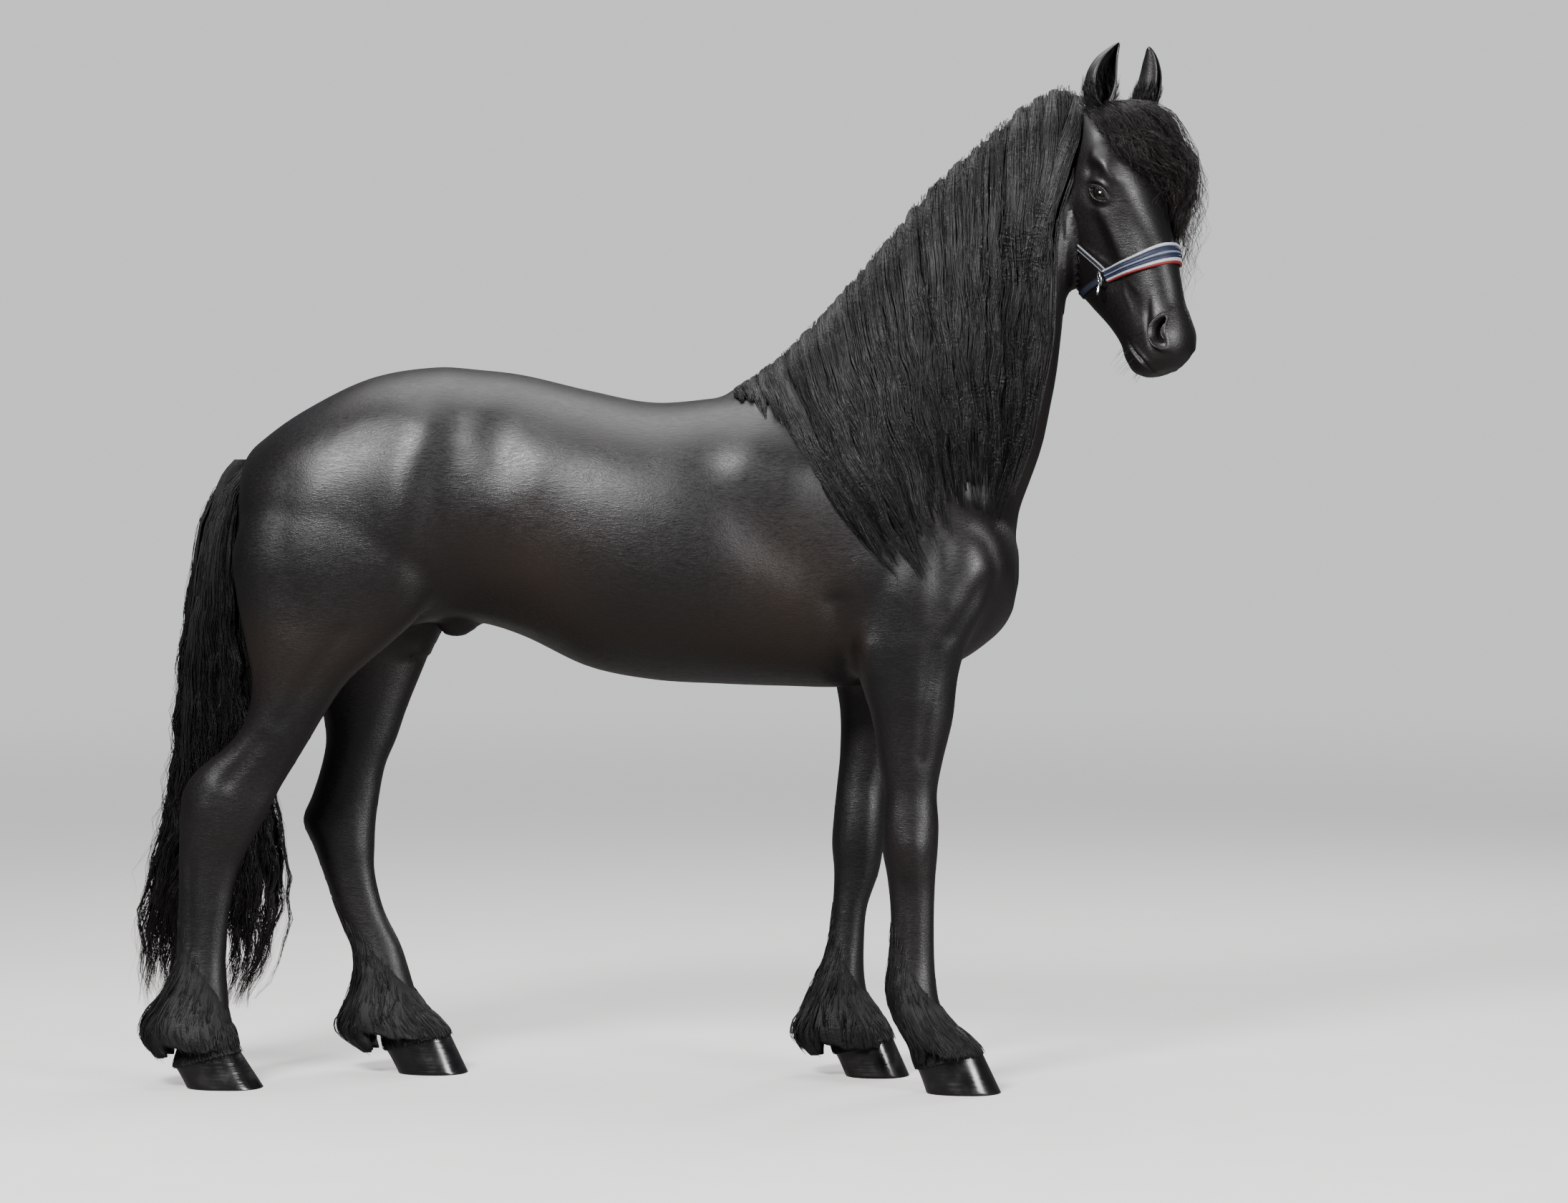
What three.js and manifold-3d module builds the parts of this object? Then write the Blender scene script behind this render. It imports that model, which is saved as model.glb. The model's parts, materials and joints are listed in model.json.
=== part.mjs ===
// A Friesian horse standing square to the side, head turned to its right, as a life-size still model.
// Millimetres. X runs forward, Y to the horse's left, Z up, and the soles stand at zero.
import * as THREE from 'three';
import { mergeVertices } from 'three/addons/utils/BufferGeometryUtils.js';
import Module from 'manifold-3d';

const wasm = await Module();
wasm.setup();

// Driving sizes
const gap = 0.45;                  // parting gap between neighbours
const nearMargin = 5;
const fineGrids = [0.01, 0.013, 0.017, 0.023, 0.031];       // a finished solid's points lie on one of these
const originShift = 261.2;           // the middle of the horse's length lies this far behind the withers foot
const trunkSides = 20;
const neckSides = 18;
const legSides = 11;
const headSides = 24;
const hoofSides = 14;

const deg = THREE.MathUtils.degToRad;
const headYaw = deg(38);       // the head is turned to the right by this
const facePitch = deg(17.5);   // the face line stands this far off the vertical
const headOrigin = new THREE.Vector3(784, -105, 2252);
const eyeRadius = 22;
const eyePlace = { down: 197, front: -66, side: 84 };

// Trunk: upright sections from the buttocks to the breast
const trunkKeys = [
  { x: -1252, top: 1375, bottom: 1280, wide: 60, mid: 1325 },
  { x: -1238, top: 1440, bottom: 1180, wide: 142, mid: 1315 },
  { x: -1200, top: 1483, bottom: 1100, wide: 200, mid: 1300 },
  { x: -1100, top: 1553, bottom: 1035, wide: 250, mid: 1300 },
  { x: -950, top: 1625, bottom: 1030, wide: 266, mid: 1330 },
  { x: -800, top: 1650, bottom: 1062, wide: 276, mid: 1370 },
  { x: -700, top: 1644, bottom: 1058, wide: 270, mid: 1370 },
  { x: -600, top: 1632, bottom: 1028, wide: 270, mid: 1345 },
  { x: -450, top: 1597, bottom: 958, wide: 294, mid: 1290 },
  { x: -300, top: 1569, bottom: 928, wide: 307, mid: 1255 },
  { x: -150, top: 1580, bottom: 919, wide: 298, mid: 1245 },
  { x: 0, top: 1600, bottom: 914, wide: 268, mid: 1245 },
  { x: 150, top: 1570, bottom: 913, wide: 244, mid: 1240 },
  { x: 300, top: 1490, bottom: 940, wide: 228, mid: 1210 },
  { x: 400, top: 1420, bottom: 970, wide: 206, mid: 1195 },
  { x: 480, top: 1345, bottom: 1025, wide: 168, mid: 1190 },
  { x: 528, top: 1275, bottom: 1100, wide: 108, mid: 1190 },
];

// Neck: sections from a point of the crest to a point of the underline
const neckKeys = [
  { s: 0, crestX: -300, crestZ: 1480, underX: 260, underZ: 1080, wide: 195, y: 0 },
  { s: 1, crestX: -135, crestZ: 1588, underX: 470, underZ: 1190, wide: 190, y: 0 },
  { s: 2, crestX: -25, crestZ: 1660, underX: 548, underZ: 1330, wide: 168, y: -2 },
  { s: 3, crestX: 100, crestZ: 1772, underX: 588, underZ: 1455, wide: 146, y: -5 },
  { s: 4, crestX: 222, crestZ: 1905, underX: 603, underZ: 1555, wide: 126, y: -11 },
  { s: 5, crestX: 335, crestZ: 2035, underX: 615, underZ: 1640, wide: 111, y: -19 },
  { s: 6, crestX: 450, crestZ: 2135, underX: 628, underZ: 1720, wide: 102, y: -28 },
  { s: 7, crestX: 560, crestZ: 2222, underX: 640, underZ: 1795, wide: 96, y: -38 },
  { s: 8, crestX: 640, crestZ: 2250, underX: 658, underZ: 1855, wide: 82, y: -46 },
  { s: 9, crestX: 675, crestZ: 2235, underX: 682, underZ: 1930, wide: 48, y: -52 },
];

// Head: sections across the face line, from the poll to the lips
const headKeys = [
  { t: -14, front: -72, back: -112, wide: 26, mid: -92, frontSquare: 2, backSquare: 2 },
  { t: 0, front: -48, back: -140, wide: 58, mid: -92, frontSquare: 2, backSquare: 2 },
  { t: 40, front: -18, back: -190, wide: 80, mid: -88, frontSquare: 2.3, backSquare: 2 },
  { t: 90, front: 0, back: -240, wide: 92, mid: -85, frontSquare: 2.6, backSquare: 1.9 },
  { t: 140, front: 8, back: -278, wide: 102, mid: -78, frontSquare: 2.7, backSquare: 1.8 },
  { t: 190, front: 7, back: -300, wide: 102, mid: -75, frontSquare: 2.6, backSquare: 1.75 },
  { t: 240, front: 4, back: -304, wide: 91, mid: -80, frontSquare: 2.4, backSquare: 1.75 },
  { t: 300, front: 5, back: -294, wide: 77, mid: -86, frontSquare: 2.3, backSquare: 1.75 },
  { t: 360, front: 8, back: -268, wide: 67, mid: -86, frontSquare: 2.3, backSquare: 1.8 },
  { t: 420, front: 5, back: -234, wide: 61, mid: -84, frontSquare: 2.2, backSquare: 1.9 },
  { t: 480, front: 0, back: -198, wide: 58, mid: -82, frontSquare: 2.2, backSquare: 2 },
  { t: 530, front: 1, back: -176, wide: 61, mid: -78, frontSquare: 2.3, backSquare: 2.1 },
  { t: 568, front: -5, back: -168, wide: 62, mid: -80, frontSquare: 2.3, backSquare: 2.2 },
  { t: 600, front: -24, back: -156, wide: 54, mid: -88, frontSquare: 2.2, backSquare: 2.2 },
  { t: 622, front: -56, back: -134, wide: 34, mid: -95, frontSquare: 2, backSquare: 2 },
];

// Swellings of the head: where they lie in the head's own frame, how far they reach and how high they rise
const headSwells = [
  { name: 'brow', at: [150, -48, 92], reach: [34, 30, 30], rise: 9 },
  { name: 'cheek', at: [215, -200, 62], reach: [75, 70, 60], rise: 17 },
  { name: 'facial crest', at: [300, -78, 62], reach: [70, 18, 34], rise: 6 },
  { name: 'under the crest', at: [330, -125, 55], reach: [70, 26, 34], rise: -6 },
  { name: 'above the brow', at: [85, -30, 70], reach: [26, 26, 28], rise: -5 },
  { name: 'nostril wing', at: [545, -38, 58], reach: [32, 26, 30], rise: 10 },
  { name: 'upper lip', at: [598, -75, 46], reach: [24, 45, 36], rise: 5 },
  { name: 'lower lip', at: [598, -140, 36], reach: [22, 26, 40], rise: 4 },
  { name: 'chin', at: [565, -168, 0], reach: [26, 20, 34], rise: 6 },
];

// Legs: level sections, with the front and back of the leg, its middle across and half its breadth
const forelegKeys = [
  { z: 1400, front: 330, back: 150, y: 90, wide: 60 },
  { z: 1310, front: 420, back: 160, y: 125, wide: 85 },
  { z: 1220, front: 474, back: 152, y: 150, wide: 86 },
  { z: 1110, front: 470, back: 147, y: 158, wide: 84 },
  { z: 1020, front: 425, back: 148, y: 152, wide: 81 },
  { z: 950, front: 404, back: 172, y: 143, wide: 76 },
  { z: 850, front: 392, back: 203, y: 137, wide: 66 },
  { z: 750, front: 368, back: 219, y: 133, wide: 56 },
  { z: 680, front: 356, back: 230, y: 131, wide: 51 },
  { z: 610, front: 356, back: 228, y: 130, wide: 54 },
  { z: 550, front: 354, back: 230, y: 130, wide: 51 },
  { z: 490, front: 347, back: 246, y: 130, wide: 41 },
  { z: 400, front: 343, back: 256, y: 130, wide: 36 },
  { z: 300, front: 344, back: 254, y: 130, wide: 38 },
  { z: 240, front: 354, back: 238, y: 130, wide: 52 },
  { z: 195, front: 370, back: 242, y: 130, wide: 57 },
  { z: 150, front: 402, back: 272, y: 130, wide: 58 },
  { z: 105, front: 440, back: 312, y: 130, wide: 52 },
  { z: 40, front: 440, back: 340, y: 130, wide: 48 },
];
const hindlegKeys = [
  { z: 1520, front: -880, back: -1060, y: 70, wide: 60 },
  { z: 1430, front: -800, back: -1150, y: 125, wide: 92 },
  { z: 1340, front: -758, back: -1212, y: 150, wide: 106 },
  { z: 1220, front: -745, back: -1250, y: 160, wide: 106 },
  { z: 1120, front: -790, back: -1240, y: 160, wide: 94 },
  { z: 1020, front: -885, back: -1222, y: 157, wide: 80 },
  { z: 930, front: -985, back: -1208, y: 152, wide: 66 },
  { z: 850, front: -1042, back: -1222, y: 147, wide: 57 },
  { z: 790, front: -1078, back: -1262, y: 143, wide: 51 },
  { z: 735, front: -1112, back: -1330, y: 140, wide: 47 },
  { z: 690, front: -1142, back: -1364, y: 138, wide: 47 },
  { z: 640, front: -1170, back: -1366, y: 136, wide: 49 },
  { z: 580, front: -1205, back: -1360, y: 134, wide: 46 },
  { z: 500, front: -1247, back: -1355, y: 132, wide: 38 },
  { z: 400, front: -1268, back: -1357, y: 131, wide: 35 },
  { z: 300, front: -1278, back: -1366, y: 130, wide: 38 },
  { z: 240, front: -1271, back: -1400, y: 130, wide: 52 },
  { z: 195, front: -1260, back: -1418, y: 130, wide: 57 },
  { z: 150, front: -1244, back: -1408, y: 130, wide: 58 },
  { z: 100, front: -1236, back: -1362, y: 130, wide: 50 },
  { z: 40, front: -1225, back: -1340, y: 130, wide: 46 },
];
// The left legs stand further forward under the hindquarters and further back under the shoulder
const leftForelegKeys = [
  { z: 1400, front: 330, back: 150, y: 90, wide: 60 },
  { z: 1310, front: 415, back: 150, y: 125, wide: 85 },
  { z: 1220, front: 452, back: 130, y: 150, wide: 86 },
  { z: 1110, front: 425, back: 112, y: 158, wide: 84 },
  { z: 1020, front: 365, back: 95, y: 152, wide: 81 },
  { z: 950, front: 322, back: 105, y: 143, wide: 76 },
  { z: 850, front: 288, back: 122, y: 137, wide: 66 },
  { z: 750, front: 258, back: 122, y: 133, wide: 56 },
  { z: 680, front: 240, back: 115, y: 131, wide: 51 },
  { z: 600, front: 235, back: 107, y: 130, wide: 54 },
  { z: 540, front: 229, back: 103, y: 130, wide: 51 },
  { z: 475, front: 218, back: 108, y: 130, wide: 41 },
  { z: 390, front: 190, back: 104, y: 130, wide: 36 },
  { z: 300, front: 183, back: 93, y: 130, wide: 38 },
  { z: 235, front: 186, back: 64, y: 130, wide: 52 },
  { z: 190, front: 196, back: 52, y: 130, wide: 57 },
  { z: 145, front: 220, back: 58, y: 130, wide: 58 },
  { z: 100, front: 238, back: 118, y: 130, wide: 51 },
  { z: 40, front: 240, back: 150, y: 130, wide: 46 },
];
const leftHindlegKeys = [
  { z: 1520, front: -880, back: -1060, y: 70, wide: 60 },
  { z: 1430, front: -800, back: -1150, y: 125, wide: 92 },
  { z: 1340, front: -758, back: -1212, y: 150, wide: 106 },
  { z: 1220, front: -735, back: -1240, y: 160, wide: 106 },
  { z: 1120, front: -765, back: -1220, y: 160, wide: 94 },
  { z: 1020, front: -820, back: -1180, y: 157, wide: 80 },
  { z: 930, front: -858, back: -1130, y: 152, wide: 68 },
  { z: 850, front: -890, back: -1095, y: 147, wide: 59 },
  { z: 780, front: -914, back: -1084, y: 143, wide: 52 },
  { z: 720, front: -939, back: -1094, y: 140, wide: 48 },
  { z: 650, front: -953, back: -1116, y: 138, wide: 47 },
  { z: 590, front: -961, back: -1138, y: 136, wide: 49 },
  { z: 530, front: -966, back: -1108, y: 134, wide: 46 },
  { z: 470, front: -968, back: -1078, y: 132, wide: 39 },
  { z: 380, front: -945, back: -1042, y: 131, wide: 35 },
  { z: 300, front: -905, back: -1010, y: 130, wide: 38 },
  { z: 235, front: -880, back: -1022, y: 130, wide: 52 },
  { z: 190, front: -864, back: -1020, y: 130, wide: 57 },
  { z: 145, front: -836, back: -1002, y: 130, wide: 58 },
  { z: 105, front: -797, back: -915, y: 130, wide: 50 },
  { z: 40, front: -790, back: -890, y: 130, wide: 46 },
];

// Tail: level sections from the dock to the tips
const tailKeys = [
  { z: 1450, front: -1236, back: -1262, y: 0, wide: 18 },
  { z: 1400, front: -1240, back: -1312, y: 0, wide: 36 },
  { z: 1300, front: -1256, back: -1350, y: 0, wide: 48 },
  { z: 1150, front: -1262, back: -1374, y: 0, wide: 56 },
  { z: 950, front: -1240, back: -1402, y: 2, wide: 60 },
  { z: 750, front: -1200, back: -1420, y: 6, wide: 62 },
  { z: 550, front: -1162, back: -1462, y: 10, wide: 62 },
  { z: 400, front: -1172, back: -1498, y: 10, wide: 56 },
  { z: 270, front: -1225, back: -1500, y: 10, wide: 40 },
  { z: 195, front: -1290, back: -1480, y: 10, wide: 14 },
];

// Mane: where its tips end on the right side
const maneTips = [
  { x: -60, z: 1500 },
  { x: 0, z: 1440 },
  { x: 100, z: 1335 },
  { x: 200, z: 1235 },
  { x: 350, z: 1180 },
  { x: 420, z: 1260 },
  { x: 470, z: 1400 },
  { x: 520, z: 1590 },
  { x: 570, z: 1700 },
  { x: 630, z: 1785 },
  { x: 700, z: 1890 },
];
const maneFrom = -100;
const maneTo = 662;
const maneDrift = 62;               // a long lock ends this far ahead of its root
const maneLayers = [
  { locks: 12, reach: 1, away: 13, wide: 86 },
  { locks: 6, reach: 0.8, away: 30, wide: 84 },
];
const maneThick = 13;

// Forelock: turns about the face at its root and tip, and how far down the face each lock ends
const forelockLocks = 6;
const forelockRoot = { down: -2, from: 66, to: 114 };
const forelockTip = { from: 22, to: 118 };
const forelockEnd = { short: 170, long: 300 };

// Tail locks, and the core of hair that they spring from
const tailLocks = 13;
const tailThick = 14;
const tailCoreEnd = 1130;
const tailCoreShare = 0.4;

// Feathers: how far the long hair of each leg reaches, in level sections, round the leg's own middle
const featherLocks = 7;
const featherThick = 10;
const featherKeys = {
  fore_right: [
    { z: 430, front: 345, back: 250, wide: 40 },
    { z: 330, front: 346, back: 236, wide: 46 },
    { z: 250, front: 352, back: 230, wide: 58 },
    { z: 190, front: 372, back: 234, wide: 66 },
    { z: 140, front: 408, back: 262, wide: 76 },
    { z: 95, front: 452, back: 289, wide: 82 },
    { z: 30, front: 470, back: 306, wide: 84 },
  ],
  fore_left: [
    { z: 430, front: 205, back: 102, wide: 40 },
    { z: 330, front: 188, back: 86, wide: 46 },
    { z: 250, front: 186, back: 58, wide: 58 },
    { z: 190, front: 198, back: 30, wide: 66 },
    { z: 140, front: 226, back: 20, wide: 76 },
    { z: 95, front: 248, back: 24, wide: 82 },
    { z: 30, front: 262, back: 80, wide: 84 },
  ],
  hind_right: [
    { z: 430, front: -1266, back: -1360, wide: 40 },
    { z: 330, front: -1274, back: -1382, wide: 46 },
    { z: 270, front: -1274, back: -1408, wide: 56 },
    { z: 210, front: -1266, back: -1446, wide: 66 },
    { z: 165, front: -1252, back: -1464, wide: 74 },
    { z: 110, front: -1226, back: -1440, wide: 82 },
    { z: 30, front: -1212, back: -1392, wide: 84 },
  ],
  hind_left: [
    { z: 430, front: -955, back: -1062, wide: 40 },
    { z: 330, front: -914, back: -1042, wide: 46 },
    { z: 250, front: -882, back: -1046, wide: 58 },
    { z: 190, front: -862, back: -1044, wide: 66 },
    { z: 145, front: -834, back: -1057, wide: 76 },
    { z: 95, front: -788, back: -1048, wide: 82 },
    { z: 30, front: -770, back: -975, wide: 84 },
  ],
};

// Lids, ears and halter
const lidThick = 4;
const lidHalf = 20;
const lidUpper = 13;
const lidLower = 9;
const lidSlant = deg(42);
const mouthDepth = 7;
const mouthHalf = 1.5;
const mouthLine = [[640, -92], [600, -97], [545, -126]];
const earRoot = { down: 8, front: -36 };
const earOut = { right: 70, left: 84 };
const earOpening = deg(22);          // the cup looks this far outwards from straight ahead
const earKeys = [
  { up: -34, side: 22, deep: 24, wall: 0.95, split: 6, lean: -4, inward: 2 },
  { up: -6, side: 26, deep: 27, wall: 0.8, split: 12, lean: -1, inward: 0 },
  { up: 22, side: 28, deep: 27, wall: 0.3, split: 38, lean: 3, inward: -2 },
  { up: 50, side: 27, deep: 25, wall: 0.22, split: 50, lean: 9, inward: -2 },
  { up: 78, side: 23, deep: 21, wall: 0.22, split: 50, lean: 17, inward: 2 },
  { up: 104, side: 16, deep: 15, wall: 0.28, split: 46, lean: 27, inward: 8 },
  { up: 126, side: 8, deep: 8, wall: 0.42, split: 36, lean: 36, inward: 15 },
  { up: 142, side: 2, deep: 2, wall: 0.7, split: 20, lean: 42, inward: 23 },
];
const nosebandDown = 366;
const nosebandDip = 14;
const ringTurn = 198;
const strapLift = 2;
const strapRoom = 2;
const cheekpieceHalf = 5;
const cheekpieceKeys = [[348, 198], [310, 202], [270, 206], [230, 210], [180, 213], [130, 215], [80, 216], [40, 218]];

// Hooves: toe and heel on the ground, and toe and heel at the coronet
const hooves = {
  fore_right: { toe: 500, heel: 330, side: -1, coronetToe: 452, coronetHeel: 308, toeHigh: 101, heelHigh: 62 },
  fore_left: { toe: 287, heel: 138, side: 1, coronetToe: 243, coronetHeel: 112, toeHigh: 99, heelHigh: 58 },
  hind_right: { toe: -1188, heel: -1362, side: -1, coronetToe: -1233, coronetHeel: -1385, toeHigh: 95, heelHigh: 52 },
  hind_left: { toe: -748, heel: -910, side: 1, coronetToe: -794, coronetHeel: -940, toeHigh: 103, heelHigh: 60 },
};
const hoofY = 130;
const hoofHalf = 68;
const coronetHalf = 56;

// Materials
const material = (color, roughness, metalness = 0) =>
  new THREE.MeshStandardMaterial({ color, roughness, metalness });
const coat = material(0x141318, 0.42);
const longHair = material(0x0c0c10, 0.5);
const horn = material(0x1b1613, 0.25);
const eyeGlass = material(0x0d0806, 0.08);
const navyWeb = material(0x232a45, 0.6);
const steel = material(0xb8bcc2, 0.25, 1);

// Basic solids

const spread = (count, from, to) =>
  Array.from({ length: count }, (_, i) => THREE.MathUtils.lerp(from, to, i / (count - 1)));

// A closed skin over rings of points, each end closed by a strip across its ring
function skin(rings) {
  const sides = rings[0].length;
  const positions = rings.flat().flatMap((p) => [p.x, p.y, p.z]);
  const index = [];
  for (let r = 0; r + 1 < rings.length; r += 1) {
    for (let i = 0; i < sides; i += 1) {
      const a = r * sides + i;
      const b = r * sides + ((i + 1) % sides);
      index.push(a, b, a + sides, b, b + sides, a + sides);
    }
  }
  const last = (rings.length - 1) * sides;
  const close = (a, b, c) => index.push(c, b, a, last + a, last + b, last + c);
  for (let i = 0; 2 * i + 2 < sides; i += 1) {
    const j = sides - 1 - i;
    close(i, i + 1, j);
    if (j - i > 2) close(i + 1, j - 1, j);
  }
  const geometry = new THREE.BufferGeometry();
  geometry.setAttribute('position', new THREE.Float32BufferAttribute(positions, 3));
  geometry.setIndex(index);
  return geometry;
}

function signedVolume(positions, index) {
  const a = new THREE.Vector3();
  const b = new THREE.Vector3();
  const c = new THREE.Vector3();
  let volume = 0;
  for (let i = 0; i < index.length; i += 3) {
    a.fromArray(positions, index[i] * 3);
    b.fromArray(positions, index[i + 1] * 3);
    c.fromArray(positions, index[i + 2] * 3);
    volume += a.dot(b.cross(c));
  }
  return volume;
}

// A three.js geometry as a solid, turned outside out where its faces point in
function solid(geometry) {
  const bare = new THREE.BufferGeometry();
  bare.setAttribute('position', geometry.getAttribute('position'));
  bare.setIndex(geometry.index);
  const merged = mergeVertices(bare, 1e-4);
  const positions = new Float32Array(merged.getAttribute('position').array);
  const index = new Uint32Array(merged.index.array);
  if (signedVolume(positions, index) < 0) {
    for (let i = 0; i < index.length; i += 3) {
      [index[i], index[i + 1]] = [index[i + 1], index[i]];
    }
  }
  return new wasm.Manifold(new wasm.Mesh({ numProp: 3, vertProperties: positions, triVerts: index }));
}

function join(pieces) {
  return pieces.reduce((whole, piece) => whole.add(piece));
}

// The solid with a coat of the parting gap all round, for cutting its neighbours clear
function grown(piece, by = gap) {
  const steps = [[by, 0, 0], [-by, 0, 0], [0, by, 0], [0, -by, 0], [0, 0, by], [0, 0, -by]];
  return join([piece, ...steps.map((step) => piece.translate(step))]);
}

function largest(piece) {
  return piece.decompose().sort((a, b) => b.volume() - a.volume())[0];
}

// The faces of a solid with its points set on a grid: points that fall together are merged, and faces
// that have closed up, alone or back to back, are dropped
function onGrid(piece, grid) {
  const data = piece.getMesh();
  const geometry = new THREE.BufferGeometry();
  const positions = Float32Array.from(data.vertProperties, (v) => Math.round(v / grid) * grid);
  geometry.setAttribute('position', new THREE.BufferAttribute(positions, 3));
  geometry.setIndex(new THREE.BufferAttribute(new Uint32Array(data.triVerts), 1));
  const merged = mergeVertices(geometry, grid / 4);
  const tally = new Map();
  for (let i = 0; i < merged.index.count; i += 3) {
    const face = [0, 1, 2].map((corner) => merged.index.getX(i + corner));
    while (face[0] !== Math.min(...face)) face.push(face.shift());
    const [a, b, c] = face;
    const key = b < c ? `${a},${b},${c}` : `${a},${c},${b}`;
    if (new Set(face).size === 3) tally.set(key, (tally.get(key) ?? 0) + (b < c ? 1 : -1));
  }
  merged.setIndex([...tally].flatMap(([key, times]) => {
    const [a, b, c] = key.split(',').map(Number);
    return Array(Math.abs(times)).fill(times > 0 ? [a, b, c] : [a, c, b]).flat();
  }));
  return merged;
}

function doubledEdges({ index }) {
  const seen = new Set();
  for (let i = 0; i < index.count; i += 1) {
    const next = i % 3 === 2 ? i - 2 : i + 1;
    seen.add(`${index.getX(i)},${index.getX(next)}`);
  }
  return index.count - seen.size;
}

// The solid as a three.js geometry, on the first grid where no two edges fall together
function geometryOf(piece) {
  const tries = fineGrids.map((grid) => onGrid(piece, grid));
  return tries.find((geometry) => doubledEdges(geometry) === 0) ?? tries[0];
}

// The keys as one smooth curve: a function from a place along it to all the fields there
function curveOf(keys, along) {
  const rows = [...keys].sort((a, b) => a[along] - b[along]);
  const fields = Object.keys(rows[0]).filter((field) => typeof rows[0][field] === 'number');
  const places = rows.map((row) => row[along]);
  const samples = rows.flatMap((row) => fields.map((field) => row[field]));
  const cubic = new THREE.CubicInterpolant(Float64Array.from(places), Float64Array.from(samples), fields.length);
  const read = (place) => {
    const values = cubic.evaluate(THREE.MathUtils.clamp(place, places[0], places.at(-1)));
    return Object.fromEntries(fields.map((field, i) => [field, values[i]]));
  };
  return { read, places };
}

// Stations along the keys, an even count between each two, so that close keys keep their detail
function track(keys, along, count) {
  const { read, places } = curveOf(keys, along);
  return spread(count, 0, places.length - 1).map((step) => {
    const k = Math.min(Math.floor(step), places.length - 2);
    return read(THREE.MathUtils.lerp(places[k], places[k + 1], step - k));
  });
}

// Power-oval: across and along one turn, with its own reach and squareness above and below the middle
function oval(turn, wide, up, down, squareUp = 2, squareDown = 2) {
  const c = Math.cos(turn);
  const s = Math.sin(turn);
  const square = s > 0 ? squareUp : squareDown;
  const power = (v) => Math.sign(v) * Math.abs(v) ** (2 / square);
  return [wide * power(c), (s > 0 ? up : down) * power(s)];
}

const turns = (sides) => Array.from({ length: sides }, (_, i) => ((i + 0.5) / sides) * 2 * Math.PI);

// Trunk
function trunkSolid() {
  const rings = track(trunkKeys, 'x', 24).map((k) => turns(trunkSides).map((turn) => {
    const [y, z] = oval(turn, k.wide, k.top - k.mid, k.mid - k.bottom, 2.25, 2.15);
    return new THREE.Vector3(k.x, y, k.mid + z);
  }));
  return solid(skin(rings));
}

// An egg-shaped mass with its long axis between two points, flattened across the horse
function muscle(from, to, radius, flat = 1, detail = 12) {
  const a = new THREE.Vector3(...from);
  const b = new THREE.Vector3(...to);
  const long = b.clone().sub(a).normalize();
  const across = new THREE.Vector3(0, 1, 0).addScaledVector(long, -long.y).normalize();
  const third = new THREE.Vector3().crossVectors(long, across);
  const geometry = new THREE.SphereGeometry(1, detail, Math.round(detail * 0.7));
  geometry.scale(radius, a.distanceTo(b) / 2, radius * flat);
  geometry.applyMatrix4(new THREE.Matrix4().makeBasis(third, long, across));
  geometry.translate((a.x + b.x) / 2, (a.y + b.y) / 2, (a.z + b.z) / 2);
  return solid(geometry);
}

// Neck
function neckSolid() {
  const rings = track(neckKeys, 's', 16).map((k) => {
    const crest = new THREE.Vector3(k.crestX, k.y, k.crestZ);
    const under = new THREE.Vector3(k.underX, k.y, k.underZ);
    const rise = crest.clone().sub(under);
    const middle = under.clone().addScaledVector(rise, 0.42);
    const up = rise.length() * 0.58;
    const down = rise.length() * 0.42;
    rise.normalize();
    return turns(neckSides).map((turn) => {
      const [y, along] = oval(turn, k.wide, up, down, 1.8, 2.1);
      return middle.clone().addScaledVector(rise, along).add(new THREE.Vector3(0, y, 0));
    });
  });
  return solid(skin(rings));
}

// Head frame: down the face line, out of the face, and to the horse's left
const headDown = new THREE.Vector3(
  Math.sin(facePitch) * Math.cos(headYaw),
  -Math.sin(facePitch) * Math.sin(headYaw),
  -Math.cos(facePitch),
);
const headFront = new THREE.Vector3(
  Math.cos(facePitch) * Math.cos(headYaw),
  -Math.cos(facePitch) * Math.sin(headYaw),
  Math.sin(facePitch),
);
const headLeft = new THREE.Vector3(Math.sin(headYaw), Math.cos(headYaw), 0);
const onHead = (down, front, side) => headOrigin.clone()
  .addScaledVector(headDown, down)
  .addScaledVector(headFront, front)
  .addScaledVector(headLeft, side);

// How far the head's surface is pushed out at a place, from all the swellings on both sides
function headRise(down, front, side) {
  let rise = 0;
  for (const swell of headSwells) {
    const d = (down - swell.at[0]) / swell.reach[0];
    const f = (front - swell.at[1]) / swell.reach[1];
    const s = (Math.abs(side) - swell.at[2]) / swell.reach[2];
    rise += swell.rise * Math.exp(-(d * d + f * f + s * s));
  }
  return rise;
}

function headRing(k, away = 0, sides = headSides) {
  return turns(sides).map((turn) => {
    const [side, front] = oval(
      turn, k.wide, k.front - k.mid, k.mid - k.back, k.frontSquare, k.backSquare,
    );
    const reach = Math.hypot(side, front);
    const push = 1 + (headRise(k.t, k.mid + front, side) + away) / reach;
    return onHead(k.t, k.mid + front * push, side * push);
  });
}

const headRings = track(headKeys, 't', 27);
const headLoft = (away = 0) => solid(skin(headRings.map((k, i) => {
  const beyond = i === 0 ? -away : away * (i === headRings.length - 1);
  return headRing({ ...k, t: k.t + beyond }, away);
})));

// Legs
function legSolid(keys, side) {
  const rings = track(keys, 'z', 22).map((k) => turns(legSides).map((turn) => {
    const deep = (k.front - k.back) / 2;
    const [y, x] = oval(turn, k.wide, deep, deep, 2.1, 2.1);
    return new THREE.Vector3((k.front + k.back) / 2 + x, side * k.y + y, k.z);
  }));
  return solid(skin(rings));
}

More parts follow.
